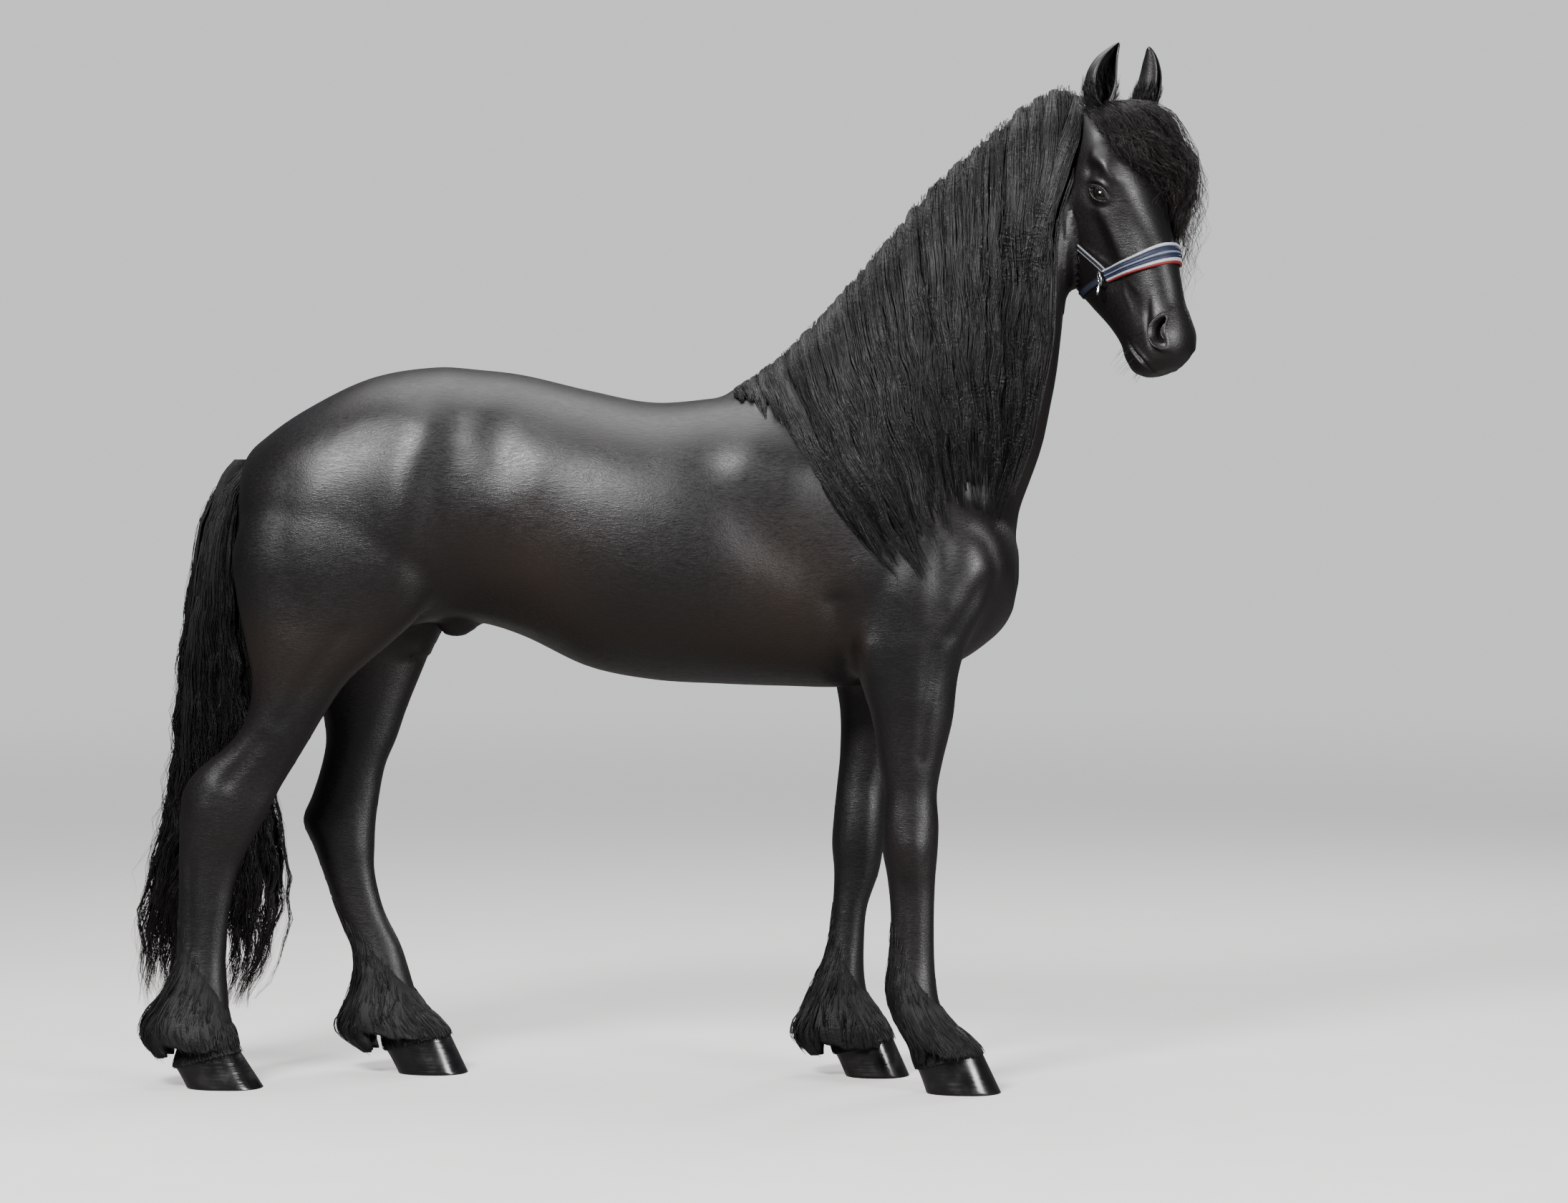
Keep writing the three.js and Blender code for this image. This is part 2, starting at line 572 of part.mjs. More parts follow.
// Hoof: level ovals that narrow upwards to the coronet, cut along the coronet's slope
function hoofSolid(h, room = 0) {
  const rings = [-0.05 * room, 0.25, 0.5, 0.75, 1.25].map((up) => turns(hoofSides).map((turn) => {
    const toe = THREE.MathUtils.lerp(h.toe, h.coronetToe, up) + room;
    const heel = THREE.MathUtils.lerp(h.heel, h.coronetHeel, up) - room;
    const half = THREE.MathUtils.lerp(hoofHalf, coronetHalf, up) + room;
    const middle = toe - half * 1.05;
    const [y, x] = oval(turn, half, toe - middle, middle - heel, 2.1, 3);
    const shin = THREE.MathUtils.lerp(0, h.toeHigh, up);
    return new THREE.Vector3(middle + x, h.side * hoofY + y, shin);
  }));
  return solid(skin(rings));
}

// Everything above the slope of a coronet, raised by a lift
function aboveCoronet(h, lift) {
  const slope = Math.atan2(h.toeHigh - h.heelHigh, h.coronetToe - h.coronetHeel);
  const box = new THREE.BoxGeometry(1600, 800, 1600);
  box.translate(0, 0, 800);
  box.rotateY(-slope);
  box.translate(h.coronetToe, h.side * hoofY, h.toeHigh + lift);
  return solid(box);
}

// An outline of [x, z] points moved outwards by a distance, with its corners kept sharp
function outset(outline, by) {
  const points = outline.map(([x, z]) => new THREE.Vector2(x, z));
  const turn = THREE.ShapeUtils.isClockWise(points) ? 1 : -1;
  const outward = (a, b) => b.clone().sub(a).normalize().rotateAround(new THREE.Vector2(), (turn * Math.PI) / 2);
  return points.map((point, i) => {
    const before = outward(points.at(i - 1), point);
    const after = outward(point, points[(i + 1) % points.length]);
    const corner = before.clone().add(after).multiplyScalar(by / (1 + before.dot(after)));
    return corner.add(point);
  });
}

// A prism over an outline, between two places across, all moved outwards by a distance
function prism(outline, yFrom, yTo, by = 0) {
  const shape = new THREE.Shape(outset(outline, by));
  const geometry = new THREE.ExtrudeGeometry(shape, { depth: yTo - yFrom + 2 * by, bevelEnabled: false });
  geometry.rotateX(Math.PI / 2);
  geometry.translate(0, yTo + by, 0);
  return solid(geometry);
}

// Head details, made in the head's own frame of down the face, out of the face and to the left
const headFrame = new THREE.Matrix4().makeBasis(headDown, headFront, headLeft).setPosition(headOrigin);
const inHead = (geometry) => solid(geometry.applyMatrix4(headFrame));

function ballAt(radius, { down, front, side }, detail = 11) {
  const geometry = new THREE.SphereGeometry(radius, detail, Math.round(detail * 0.7));
  return inHead(geometry.translate(down, front, side));
}

// The opening between the lids: an almond whose corners lie down-front and up-back, run outwards
function lidOpening(side) {
  const shape = new THREE.Shape();
  shape.moveTo(-lidHalf, 0);
  shape.quadraticCurveTo(0, lidUpper * 2, lidHalf, 0);
  shape.quadraticCurveTo(0, -lidLower * 2, -lidHalf, 0);
  const geometry = new THREE.ExtrudeGeometry(shape, { depth: 60, bevelEnabled: false, curveSegments: 4 });
  geometry.rotateZ(lidSlant);
  if (side < 0) geometry.scale(1, 1, -1);
  geometry.translate(eyePlace.down, eyePlace.front, side * (eyePlace.side + 3));
  return inHead(geometry);
}

// Nostril: a slanting hollow with its long way down the wing
function nostril(side) {
  const geometry = new THREE.SphereGeometry(1, 12, 8);
  geometry.scale(27, 16, 24);
  geometry.rotateZ(deg(-38));
  geometry.rotateX(side * deg(-35));
  geometry.translate(543, -32, side * 57);
  return inHead(geometry);
}

// Mouth: a groove from the front of the lips back to the corner, no deeper than its depth
function mouthGroove() {
  const upper = mouthLine.map(([down, front]) => [down + mouthHalf, front - mouthHalf]);
  const lower = mouthLine.map(([down, front]) => [down - mouthHalf, front + mouthHalf]);
  const outline = [...upper, ...lower.reverse()];
  const shape = new THREE.Shape(outline.map(([d, f]) => new THREE.Vector2(d, f)));
  const geometry = new THREE.ExtrudeGeometry(shape, { depth: 200, bevelEnabled: false });
  return inHead(geometry.translate(0, 0, -100)).subtract(headLoft(-mouthDepth));
}

// Ear: a tapering shell whose cup looks forwards and outwards, its tip bent in; without the cup it is
// the ear's outer body with room all round
function earSolid(hand, room = null) {
  const side = hand === 'left' ? 1 : -1;
  const rings = earKeys.map((k, i) => {
    const beyond = i === 0 ? -room : room * (i === earKeys.length - 1);
    const point = (share, turn) => new THREE.Vector3(
      k.lean + k.deep * share * Math.cos(turn),
      side * (earOut[hand] - k.inward + k.side * share * Math.sin(turn)),
      k.up + beyond,
    );
    if (room !== null) return turns(12).map((turn) => point(1 + room / k.deep, turn));
    const from = earOpening + deg(k.split);
    const arc = spread(8, from, 2 * Math.PI + earOpening - deg(k.split));
    return [...arc.map((turn) => point(1, turn)), ...arc.reverse().map((turn) => point(1 - k.wall, turn))];
  });
  const geometry = skin(rings).rotateZ(-headYaw);
  const root = onHead(earRoot.down, earRoot.front, 0);
  return solid(geometry.translate(root.x, root.y, root.z));
}

// Halter

// A point on the head's skin at a place down the face and a turn about it, held off by a distance
const headCurve = curveOf(headKeys, 't');
function onSkin(down, turn, away) {
  const k = headCurve.read(down);
  const [side, front] = oval(turn, k.wide, k.front - k.mid, k.mid - k.back, k.frontSquare, k.backSquare);
  const push = 1 + (headRise(down, k.mid + front, side) + away) / Math.hypot(side, front);
  return onHead(down, k.mid + front * push, side * push);
}

// A strap on the skin through places of { down, turn, half }, its width running along the given way
function strap(places, along, thick, room = 0) {
  const rings = places.map(({ down, turn, half }) => {
    const corner = (across, away) => (along === 'down'
      ? onSkin(down + across * (half + room), turn, strapLift + away)
      : onSkin(down, turn + (across * (half + room)) / 90, strapLift + away));
    return [corner(-1, -room), corner(1, -room), corner(1, thick + room), corner(-1, thick + room)];
  });
  return solid(skin(rings));
}

function nosebandSolid(room = 0) {
  return strap(spread(19, 180 - ringTurn, ringTurn).map((turn) => ({
    down: nosebandDown + nosebandDip * Math.cos(deg(turn)) ** 2,
    turn: deg(turn),
    half: THREE.MathUtils.lerp(20, 9, Math.abs(turn - 90) / (ringTurn - 90)),
  })), 'down', 10, room);
}

function chinStrapSolid(room = 0) {
  return strap(spread(13, ringTurn + 6, 534 - ringTurn).map((turn) => ({
    down: nosebandDown + nosebandDip + 6 * Math.sin(((turn - ringTurn) / (540 - 2 * ringTurn)) * Math.PI),
    turn: deg(turn),
    half: 8,
  })), 'down', 3.5, room);
}

function ringSolid(side, room = 0) {
  const turn = deg(side < 0 ? ringTurn + 2.5 : 177.5 - ringTurn);
  const middle = onSkin(nosebandDown + nosebandDip, turn, strapLift + 13);
  const out = onSkin(nosebandDown + nosebandDip, turn, 60).sub(middle).normalize();
  const geometry = new THREE.TorusGeometry(15, 2.6 + room, 6, 12);
  geometry.applyQuaternion(new THREE.Quaternion().setFromUnitVectors(new THREE.Vector3(0, 0, 1), out));
  return solid(geometry.translate(middle.x, middle.y, middle.z));
}

function cheekpieceSolid(side, room = 0) {
  const path = curveOf(cheekpieceKeys.map(([down, turn]) => ({ down, turn })), 'down');
  return strap(spread(17, cheekpieceKeys.at(-1)[0] - room, cheekpieceKeys[0][0] + room).map((down) => ({
    down,
    turn: deg(side < 0 ? path.read(down).turn : 180 - path.read(down).turn),
    half: cheekpieceHalf,
  })), 'across', 3, room);
}

// Locks

// Repeatable random numbers between two values
function dice(seed) {
  let state = seed;
  return (from, to) => {
    state = (state + 0x6d2b79f5) | 0;
    let t = Math.imul(state ^ (state >>> 15), 1 | state);
    t = (t + Math.imul(t ^ (t >>> 7), 61 | t)) ^ t;
    return from + (to - from) * (((t ^ (t >>> 14)) >>> 0) / 2 ** 32);
  };
}

// A flat, tapered lock along places of { at, out }: a flat back with a low ridge that faces outwards
const lockTaper = curveOf([
  { u: 0, wide: 0.5, thick: 0.9 },
  { u: 0.25, wide: 0.92, thick: 1 },
  { u: 0.55, wide: 1, thick: 0.85 },
  { u: 0.82, wide: 0.6, thick: 0.5 },
  { u: 1, wide: 0.05, thick: 0.09 },
], 'u');
function lock(places, wide, thick, stations = 7) {
  const path = new THREE.CatmullRomCurve3(places.map(({ at }) => at));
  const facing = new THREE.CatmullRomCurve3(places.map(({ out }) => out));
  return solid(skin(spread(stations, 0, 1).map((u) => {
    const { wide: w, thick: t } = lockTaper.read(u);
    const along = path.getTangent(u);
    const out = facing.getPoint(u);
    out.addScaledVector(along, -out.dot(along)).normalize();
    const across = new THREE.Vector3().crossVectors(along, out);
    const middle = path.getPoint(u);
    return [
      middle.clone().addScaledVector(across, (-wide * w) / 2),
      middle.clone().addScaledVector(across, (wide * w) / 2),
      middle.clone().addScaledVector(out, thick * t),
    ];
  })));
}

// Assembly
const horse = new THREE.Group();
horse.position.x = originShift;
const add = (name, piece, look) => {
  const mesh = new THREE.Mesh(geometryOf(largest(piece)), look);
  mesh.name = name;
  horse.add(mesh);
};

// The part of a solid inside the other's box, with a margin
function near(piece, other) {
  const { min, max } = other.boundingBox();
  const size = max.map((v, i) => v - min[i] + 2 * nearMargin);
  const box = new THREE.BoxGeometry(...size);
  box.translate(...max.map((v, i) => (v + min[i]) / 2));
  return piece.intersect(solid(box));
}
const clearOf = (piece, ...neighbours) => neighbours.reduce((left, other) => {
  const close = near(other, left);
  return close.isEmpty() ? left : left.subtract(grown(close));
}, piece);
const cutAway = (piece, ...cutters) => cutters.reduce((left, cutter) => left.subtract(cutter), piece);

const flesh = join([
  trunkSolid(),
  neckSolid(),
  legSolid(forelegKeys, -1),
  legSolid(leftForelegKeys, 1),
  legSolid(hindlegKeys, -1),
  legSolid(leftHindlegKeys, 1),
  muscle([-700, 0, 1085], [-800, 0, 1050], 42, 0.8, 10),      // sheath
]);

// Head, with its eyes and ears
const sides = { right: -1, left: 1 };
let head = headLoft();
const eyeAt = (side) => ({ ...eyePlace, side: side * eyePlace.side });
for (const side of [-1, 1]) {
  head = cutAway(
    head.add(ballAt(eyeRadius + lidThick, eyeAt(side))),
    lidOpening(side),
    ballAt(eyeRadius + gap, eyeAt(side)),
    nostril(side),
  );
}
head = head.subtract(mouthGroove());

// Forelock: locks from the poll down the forehead, fanned towards the left eye
const forelockDice = dice(11);
const forelock = join(spread(forelockLocks, 0, 1).map((share) => {
  const rootTurn = THREE.MathUtils.lerp(forelockRoot.from, forelockRoot.to, share);
  const tipTurn = THREE.MathUtils.lerp(forelockTip.from, forelockTip.to, share) + forelockDice(-6, 6);
  const end = THREE.MathUtils.lerp(forelockEnd.long, forelockEnd.short, share) * forelockDice(0.82, 1.05);
  const lift = forelockDice(3, 12);
  const places = spread(6, 0, 1).map((fall) => {
    const down = THREE.MathUtils.lerp(forelockRoot.down, end, fall);
    const turn = deg(THREE.MathUtils.lerp(rootTurn, tipTurn, fall ** 0.8));
    const away = fall === 0 ? -14 : lift + 6 * Math.sin(fall * Math.PI);
    return { at: onSkin(down, turn, away), out: onSkin(down, turn, 40).sub(onSkin(down, turn, 0)) };
  });
  return lock(places, forelockDice(52, 66), forelockDice(9, 12), 5);
}));
const headRoom = headLoft(gap);
const earRooms = Object.keys(sides).map((hand) => earSolid(hand, strapRoom));
add('head', head.add(cutAway(forelock, ...earRooms)), coat);
for (const [hand, side] of Object.entries(sides)) {
  add(`eye_${hand}`, ballAt(eyeRadius, eyeAt(side)), eyeGlass);
  add(`ear_${hand}`, earSolid(hand).subtract(headRoom), coat);
}

// Halter
const haltered = (room) => ({
  noseband: nosebandSolid(room),
  chinStrap: chinStrapSolid(room),
  cheekpieces: [cheekpieceSolid(-1, room), cheekpieceSolid(1, room)],
  rings: [ringSolid(-1, room), ringSolid(1, room)],
});
const worn = haltered(0);
const wornRoom = haltered(gap);
add('noseband', cutAway(worn.noseband, headRoom, ...wornRoom.rings), navyWeb);
add('chin_strap', cutAway(worn.chinStrap, headRoom, wornRoom.noseband, ...wornRoom.rings), navyWeb);
Object.keys(sides).forEach((hand, i) => {
  const band = cutAway(worn.cheekpieces[i], headRoom, wornRoom.noseband, wornRoom.chinStrap, wornRoom.rings[i]);
  add(`cheekpiece_${hand}`, band, navyWeb);
  add(`ring_${hand}`, worn.rings[i], steel);
});

const forelegOutline = [[60, -60], [640, -60], [640, 1055], [140, 965], [60, 885]];
const hindlegOutline = [[-1500, -60], [-600, -60], [-600, 1150], [-1290, 1085], [-1500, 1085]];
const neckOutline = [[-130, 1590], [640, 1270], [1100, 1270], [1100, 2500], [-130, 2500]];
const innerWall = 48;
const outerWall = 500;
const kneeCut = { fore_right: 515, fore_left: 505, hind_right: 585, hind_left: 505 };

// The flesh is parted along the outlines into neck, torso and legs
const legRegion = (name, by) => {
  const outline = name.startsWith('fore') ? forelegOutline : hindlegOutline;
  const [from, to] = hooves[name].side < 0 ? [-outerWall, -innerWall] : [innerWall, outerWall];
  return prism(outline, from, to, by);
};
const torso = cutAway(
  flesh,
  prism(neckOutline, -outerWall, outerWall, gap),
  ...Object.keys(hooves).map((name) => legRegion(name, gap)),
);
add('torso', torso, coat);

// Mane: from the crest over to the right side, each lock hanging no steeper inwards than its slope
const fleshMesh = new THREE.Mesh(geometryOf(flesh));
const caster = new THREE.Raycaster();
function rightSkin(x, z) {
  caster.set(new THREE.Vector3(x, -outerWall * 2, z), new THREE.Vector3(0, 1, 0));
  const [hit] = caster.intersectObject(fleshMesh);
  return hit ? hit.point.y : 0;
}
const crestCurve = curveOf(neckKeys.map(({ crestX, crestZ, y }) => ({ x: crestX, z: crestZ, y })), 'x');
const tipCurve = curveOf(maneTips, 'x');
const maneDice = dice(5);
function maneLock(rootX, layer) {
  const crest = crestCurve.read(rootX);
  const reach = layer.reach * maneDice(0.9, 1);
  const drift = maneDrift * reach * Math.min(1, (maneTo + 60 - rootX) / 320) + maneDice(-12, 12);
  const tipX = rootX + drift;
  const tipZ = THREE.MathUtils.lerp(crest.z, Math.min(tipCurve.read(tipX).z, crest.z - 90), reach);
  const wave = maneDice(-9, 9);
  const rise = Math.max(0, (crestCurve.read(rootX + 20).z - crestCurve.read(rootX - 20).z) / 40);
  const wide = Math.min(layer.wide * maneDice(0.85, 1.1), (crest.z - tipZ) * 0.45);
  const places = [
    { at: new THREE.Vector3(rootX, crest.y + 24, crest.z - 24), out: new THREE.Vector3(-rise, 0.6, 0.8) },
    { at: new THREE.Vector3(rootX, crest.y - 4, crest.z + 4 + layer.away * 0.3), out: new THREE.Vector3(-rise, -0.3, 1) },
  ];
  let y = crest.y - 30 - layer.away;
  spread(5, 0.12, 1).forEach((fall) => {
    const x = THREE.MathUtils.lerp(rootX, tipX, fall ** 1.4) + wave * Math.sin(fall * 5);
    const z = THREE.MathUtils.lerp(crest.z, tipZ, fall);
    const slack = 0.22 * ((crest.z - tipZ) * 0.22);
    y = Math.min(rightSkin(x, z) - layer.away, y + slack);
    places.push({ at: new THREE.Vector3(x, y, z), out: new THREE.Vector3(0, -1, 0.12) });
  });
  return lock(places, wide, maneThick * maneDice(0.85, 1.1), 6);
}
const mane = join(maneLayers.flatMap((layer, i) => {
  const inset = i * 20;
  return spread(layer.locks, maneFrom + inset, maneTo - inset)
    .map((rootX) => maneLock(rootX + maneDice(-8, 8), layer));
}));
const neckFlesh = flesh.intersect(prism(neckOutline, -outerWall, outerWall));
const neck = cutAway(
  clearOf(neckFlesh.add(mane), torso).subtract(grown(forelock, strapRoom / 2)),
  headRoom,
  ...earRooms,
  nosebandSolid(strapRoom),
  chinStrapSolid(strapRoom),
  ...[-1, 1].flatMap((side) => [cheekpieceSolid(side, strapRoom), ringSolid(side, strapRoom)]),
);
add('neck', neck, coat);

// Feathers: locks round a lower leg, rooted on the cannon and lying out over the hoof
function feathers(name, h) {
  const legKeys = { fore_right: forelegKeys, fore_left: leftForelegKeys, hind_right: hindlegKeys, hind_left: leftHindlegKeys };
  const leg = curveOf(legKeys[name], 'z');
  const reach = curveOf(featherKeys[name], 'z');
  const roll = dice(name.length * 7 + h.toe);
  return join(spread(featherLocks, -1, 1).map((share, i) => {
    const turn = deg(180 + share * (180 - 180 / featherLocks)) + roll(-0.06, 0.06);
    const behind = (1 - Math.cos(turn)) / 2;
    const rootZ = THREE.MathUtils.lerp(172, i % 2 ? 400 : 300, behind) + roll(-12, 12);
    const tipZ = THREE.MathUtils.lerp(82, i % 2 ? 46 : 28, behind) + roll(0, 12);
    const places = spread(6, 0, 1).map((fall) => {
      const z = THREE.MathUtils.lerp(rootZ, tipZ, fall);
      const [inner, outer] = [leg.read(z), reach.read(z)];
      const share2 = Math.min(1, fall * 1.5);
      const mix = (a, b) => THREE.MathUtils.lerp(a, b, share2);
      const middle = mix((inner.front + inner.back) / 2, (outer.front + outer.back) / 2);
      const deep = mix(((inner.front - inner.back) / 2) * 0.7, (outer.front - outer.back) / 2 - featherThick * 0.6);
      const wide = mix(inner.wide * 0.7, outer.wide - featherThick * 0.6);
      const out = new THREE.Vector3(Math.cos(turn) / deep, Math.sin(turn) / wide, 0.004);
      return { at: new THREE.Vector3(middle + deep * Math.cos(turn), h.side * hoofY + wide * Math.sin(turn), z), out };
    });
    return lock(places, roll(66, 80), featherThick * roll(0.9, 1.15), 5);
  }));
}

// Legs and hooves
const legs = [];
for (const [name, h] of Object.entries(hooves)) {
  const leg = flesh.intersect(legRegion(name, 0));
  const kneeSlab = (from, to) => solid(
    new THREE.BoxGeometry(2 * outerWall * 3, 2 * outerWall, to - from).translate(-300, 0, (from + to) / 2),
  );
  const cut = kneeCut[name];
  const [ends, hand] = name.split('_');
  const hoof = hoofSolid(h).subtract(aboveCoronet(h, 0));
  const hoofRoom = hoofSolid(h, gap * 1.5).subtract(aboveCoronet(h, gap));
  const upper = leg.intersect(kneeSlab(cut + gap, 2000));
  const lower = leg.intersect(kneeSlab(-100, cut)).intersect(aboveCoronet(h, gap)).add(feathers(name, h));
  add(`${ends}leg_${hand}_upper`, upper, coat);
  add(`${ends}leg_${hand}_lower`, lower.subtract(hoofRoom), coat);
  add(`hoof_${name}`, hoof, horn);
  legs.push(upper, lower);
}

// Tail: a core of hair from the dock down to half its length, with locks round it out to the tips
const tailCurve = curveOf(tailKeys, 'z');
function tailPlace(z, turn, share) {
  const k = tailCurve.read(z);
  const deep = ((k.front - k.back) / 2) * share;
  return new THREE.Vector3((k.front + k.back) / 2 + deep * Math.cos(turn), k.y + k.wide * share * Math.sin(turn), z);
}
const tailCore = solid(skin(spread(6, tailCoreEnd, tailKeys[0].z).map((z) => {
  const share = Math.min(tailCoreShare, 0.15 + (z - tailCoreEnd) / 400) + Math.max(0, (z - 1360) / 150);
  return turns(10).map((turn) => tailPlace(z, turn, Math.min(share, 0.98)));
})));
const tailDice = dice(31);
const tail = tailCore.add(join(spread(tailLocks, 0, 1).map((share, i) => {
  const turn = share * 2 * Math.PI * 2 + tailDice(-0.15, 0.15);
  const rootZ = [1400, 1250][i % 2] + tailDice(-30, 30);
  const tipZ = [420, 215][i % 2] + tailDice(-20, 90);
  const drift = tailDice(-0.15, 0.15);
  const depth = [1, 0.74][i % 2];
  return lock(spread(7, 0, 1).map((fall) => {
    const z = THREE.MathUtils.lerp(rootZ, tipZ, fall);
    const lie = turn + drift * fall;
    const at = tailPlace(z, lie, Math.min(depth, 0.42 + fall * 3.6) * (1 - 0.1 * fall));
    const out = tailPlace(z, lie, 1).sub(tailPlace(z, lie, 0.5));
    out.set(out.x / 6, out.y, 0);
    return { at, out };
  }), tailDice(76, 96), tailThick * tailDice(0.85, 1.1), 6);
})));
add('tail', clearOf(tail, torso, ...legs), longHair);

export default horse;
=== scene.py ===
# A black Friesian horse standing square to the side, life size, with its head turned to the right.
# Metres. X runs forward, Y to the horse's left, Z up; the key tables below are in millimetres.
import bpy
import bmesh
import json
import math
import time
import numpy as np
from mathutils import Matrix

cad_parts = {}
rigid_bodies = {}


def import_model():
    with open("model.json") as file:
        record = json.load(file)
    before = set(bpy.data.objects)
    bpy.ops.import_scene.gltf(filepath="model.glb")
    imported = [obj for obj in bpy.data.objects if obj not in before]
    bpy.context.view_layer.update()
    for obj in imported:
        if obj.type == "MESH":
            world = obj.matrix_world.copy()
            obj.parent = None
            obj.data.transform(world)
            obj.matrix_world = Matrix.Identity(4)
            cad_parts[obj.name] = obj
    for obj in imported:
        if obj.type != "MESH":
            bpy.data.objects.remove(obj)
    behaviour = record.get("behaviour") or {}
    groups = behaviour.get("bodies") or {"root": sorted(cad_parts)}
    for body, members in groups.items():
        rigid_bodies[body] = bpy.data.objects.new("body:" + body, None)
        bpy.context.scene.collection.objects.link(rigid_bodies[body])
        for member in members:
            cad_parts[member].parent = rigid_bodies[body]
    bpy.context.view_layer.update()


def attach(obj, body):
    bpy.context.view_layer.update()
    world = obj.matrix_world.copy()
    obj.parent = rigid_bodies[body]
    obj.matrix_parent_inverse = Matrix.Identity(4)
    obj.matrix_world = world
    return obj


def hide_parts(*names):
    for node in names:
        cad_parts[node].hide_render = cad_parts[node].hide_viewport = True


started = time.time()
for leftover in list(bpy.data.objects):
    bpy.data.objects.remove(leftover)
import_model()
shift = np.array([0.2612, 0.0, 0.0])   # from the foot of the withers to the middle of the solids
rng = np.random.default_rng(7)


# One printed line per stage, with the seconds since the start
def stage(words):
    print(f"{words}: {time.time() - started:.1f} s")


# Placement of a camera or lamp from its directions right, up and back and its place
def placed(right, up, back, place):
    matrix = Matrix(np.stack([right, up, back], axis=1).tolist()).to_4x4()
    matrix.translation = place
    return matrix


# Camera: 10 m off the right side at 1.48 m, turned 2.7 degrees, looking slightly down
view = {"turn": 2.7, "pitch": 2.12, "away": 10.0, "high": 1.48, "lens": 100.0, "sensor": 36.0,
        "farthest": 200.0}


# Camera on a circle round the horse, looking inwards and down by its pitch
def makeCamera():
    turn, pitch = math.radians(view["turn"]), math.radians(view["pitch"])
    ahead = np.array([-math.sin(turn) * math.cos(pitch), math.cos(turn) * math.cos(pitch), -math.sin(pitch)])
    right = np.array([math.cos(turn), math.sin(turn), 0.0])
    data = bpy.data.cameras.new("camera")
    data.lens, data.sensor_width, data.clip_end = view["lens"], view["sensor"], view["farthest"]
    camera = bpy.data.objects.new("camera", data)
    place = (math.sin(turn) * view["away"] + shift[0], -math.cos(turn) * view["away"], view["high"])
    camera.matrix_world = placed(right, np.cross(right, ahead), -ahead, place)
    bpy.context.scene.collection.objects.link(camera)
    bpy.context.scene.camera = camera


makeCamera()


# Shared maths

# Smooth values between key rows: a cubic through each row, with the slope between its neighbours
def readKeys(rows, places):
    rows = np.array(sorted(rows), float)
    at, values = rows[:, 0], rows[:, 1:]
    slopes = np.empty_like(values)
    slopes[1:-1] = (values[2:] - values[:-2]) / (at[2:] - at[:-2])[:, None]
    slopes[0] = (values[1] - values[0]) / (at[1] - at[0])
    slopes[-1] = (values[-1] - values[-2]) / (at[-1] - at[-2])
    places = np.clip(places, at[0], at[-1])
    k = np.clip(np.searchsorted(at, places, side="right") - 1, 0, len(at) - 2)
    long = (at[k + 1] - at[k])[..., None]
    p = (places - at[k])[..., None] / long
    return ((2 * p**3 - 3 * p**2 + 1) * values[k] + (p**3 - 2 * p**2 + p) * long * slopes[k]
            + (3 * p**2 - 2 * p**3) * values[k + 1] + (p**3 - p**2) * long * slopes[k + 1])


# Smooth step from 0 at low to 1 at high
def ease(low, high, value):
    t = np.clip((value - low) / (high - low), 0, 1)
    return t * t * (3 - 2 * t)


# Bell: exp(-(value / reach)^2)
def bell(value, reach):
    return np.exp(-((value / reach) ** 2))


# Unit: v / |v|
def unit(v):
    return v / np.maximum(np.linalg.norm(v, axis=-1, keepdims=True), 1e-9)


# Values spread over one grid and stacked as the coordinates of its points
def together(*parts):
    return np.stack(np.broadcast_arrays(*parts), axis=-1)


# Paths (count, rings, ...) smoothed along their length between fixed ends: (a + 2 b + c) / 4
def smoothAlong(values, rounds):
    for _ in range(rounds):
        values[:, 1:-1] = (values[:, :-2] + 2 * values[:, 1:-1] + values[:, 2:]) / 4


# Power-oval: across = wide * cos^(2/n), along = reach * sin^(2/n), with its own reach and n above and below
def oval(turn, wide, up, down, squareUp=2.0, squareDown=2.0):
    c, s = np.cos(turn), np.sin(turn)
    square = np.where(s > 0, squareUp, squareDown)
    power = lambda v: np.sign(v) * np.abs(v) ** (2 / square)
    return wide * power(c), np.where(s > 0, up, down) * power(s)


# Turns of evenly spaced sides: (i + 0.5) / sides * 2 pi
def turnsOf(sides):
    return (np.arange(sides) + 0.5) / sides * 2 * np.pi


# Rings of points (rings, sides, 3) as a closed surface: quads between rings and a fan at each end
def loft(rings):
    count, sides = rings.shape[:2]
    i = np.arange(count - 1)[:, None] * sides
    j = np.arange(sides)[None, :]
    nextJ = (j + 1) % sides
    quads = np.stack([i + j, i + nextJ, i + sides + nextJ, i + sides + j], axis=-1).reshape(-1, 4)
    hubs = [count * sides, count * sides + 1]
    j = np.arange(sides)
    first = np.stack([(j + 1) % sides, j, np.full(sides, hubs[0])], axis=-1)
    base = (count - 1) * sides
    last = np.stack([base + j, base + (j + 1) % sides, np.full(sides, hubs[1])], axis=-1)
    points = np.concatenate([rings.reshape(-1, 3), rings[0].mean(0)[None], rings[-1].mean(0)[None]])
    return points, [quads, np.concatenate([first, last])]


# Six times the volume inside: the sum of a . (b x c) over the triangles, negative where faces look inwards
def signedVolume(points, faceSets):
    total = 0.0
    for faces in faceSets:
        a, b, c = points[faces[:, 0]], points[faces[:, 1]], points[faces[:, 2]]
        total += np.einsum("ij,ij->", a, np.cross(b, c))
        if faces.shape[1] == 4:
            total += np.einsum("ij,ij->", a, np.cross(c, points[faces[:, 3]]))
    return total


# From millimetres in the horse's own frame, whose middle is the withers' foot, to metres in the row's
def toRow(points):
    return points / 1000 + shift


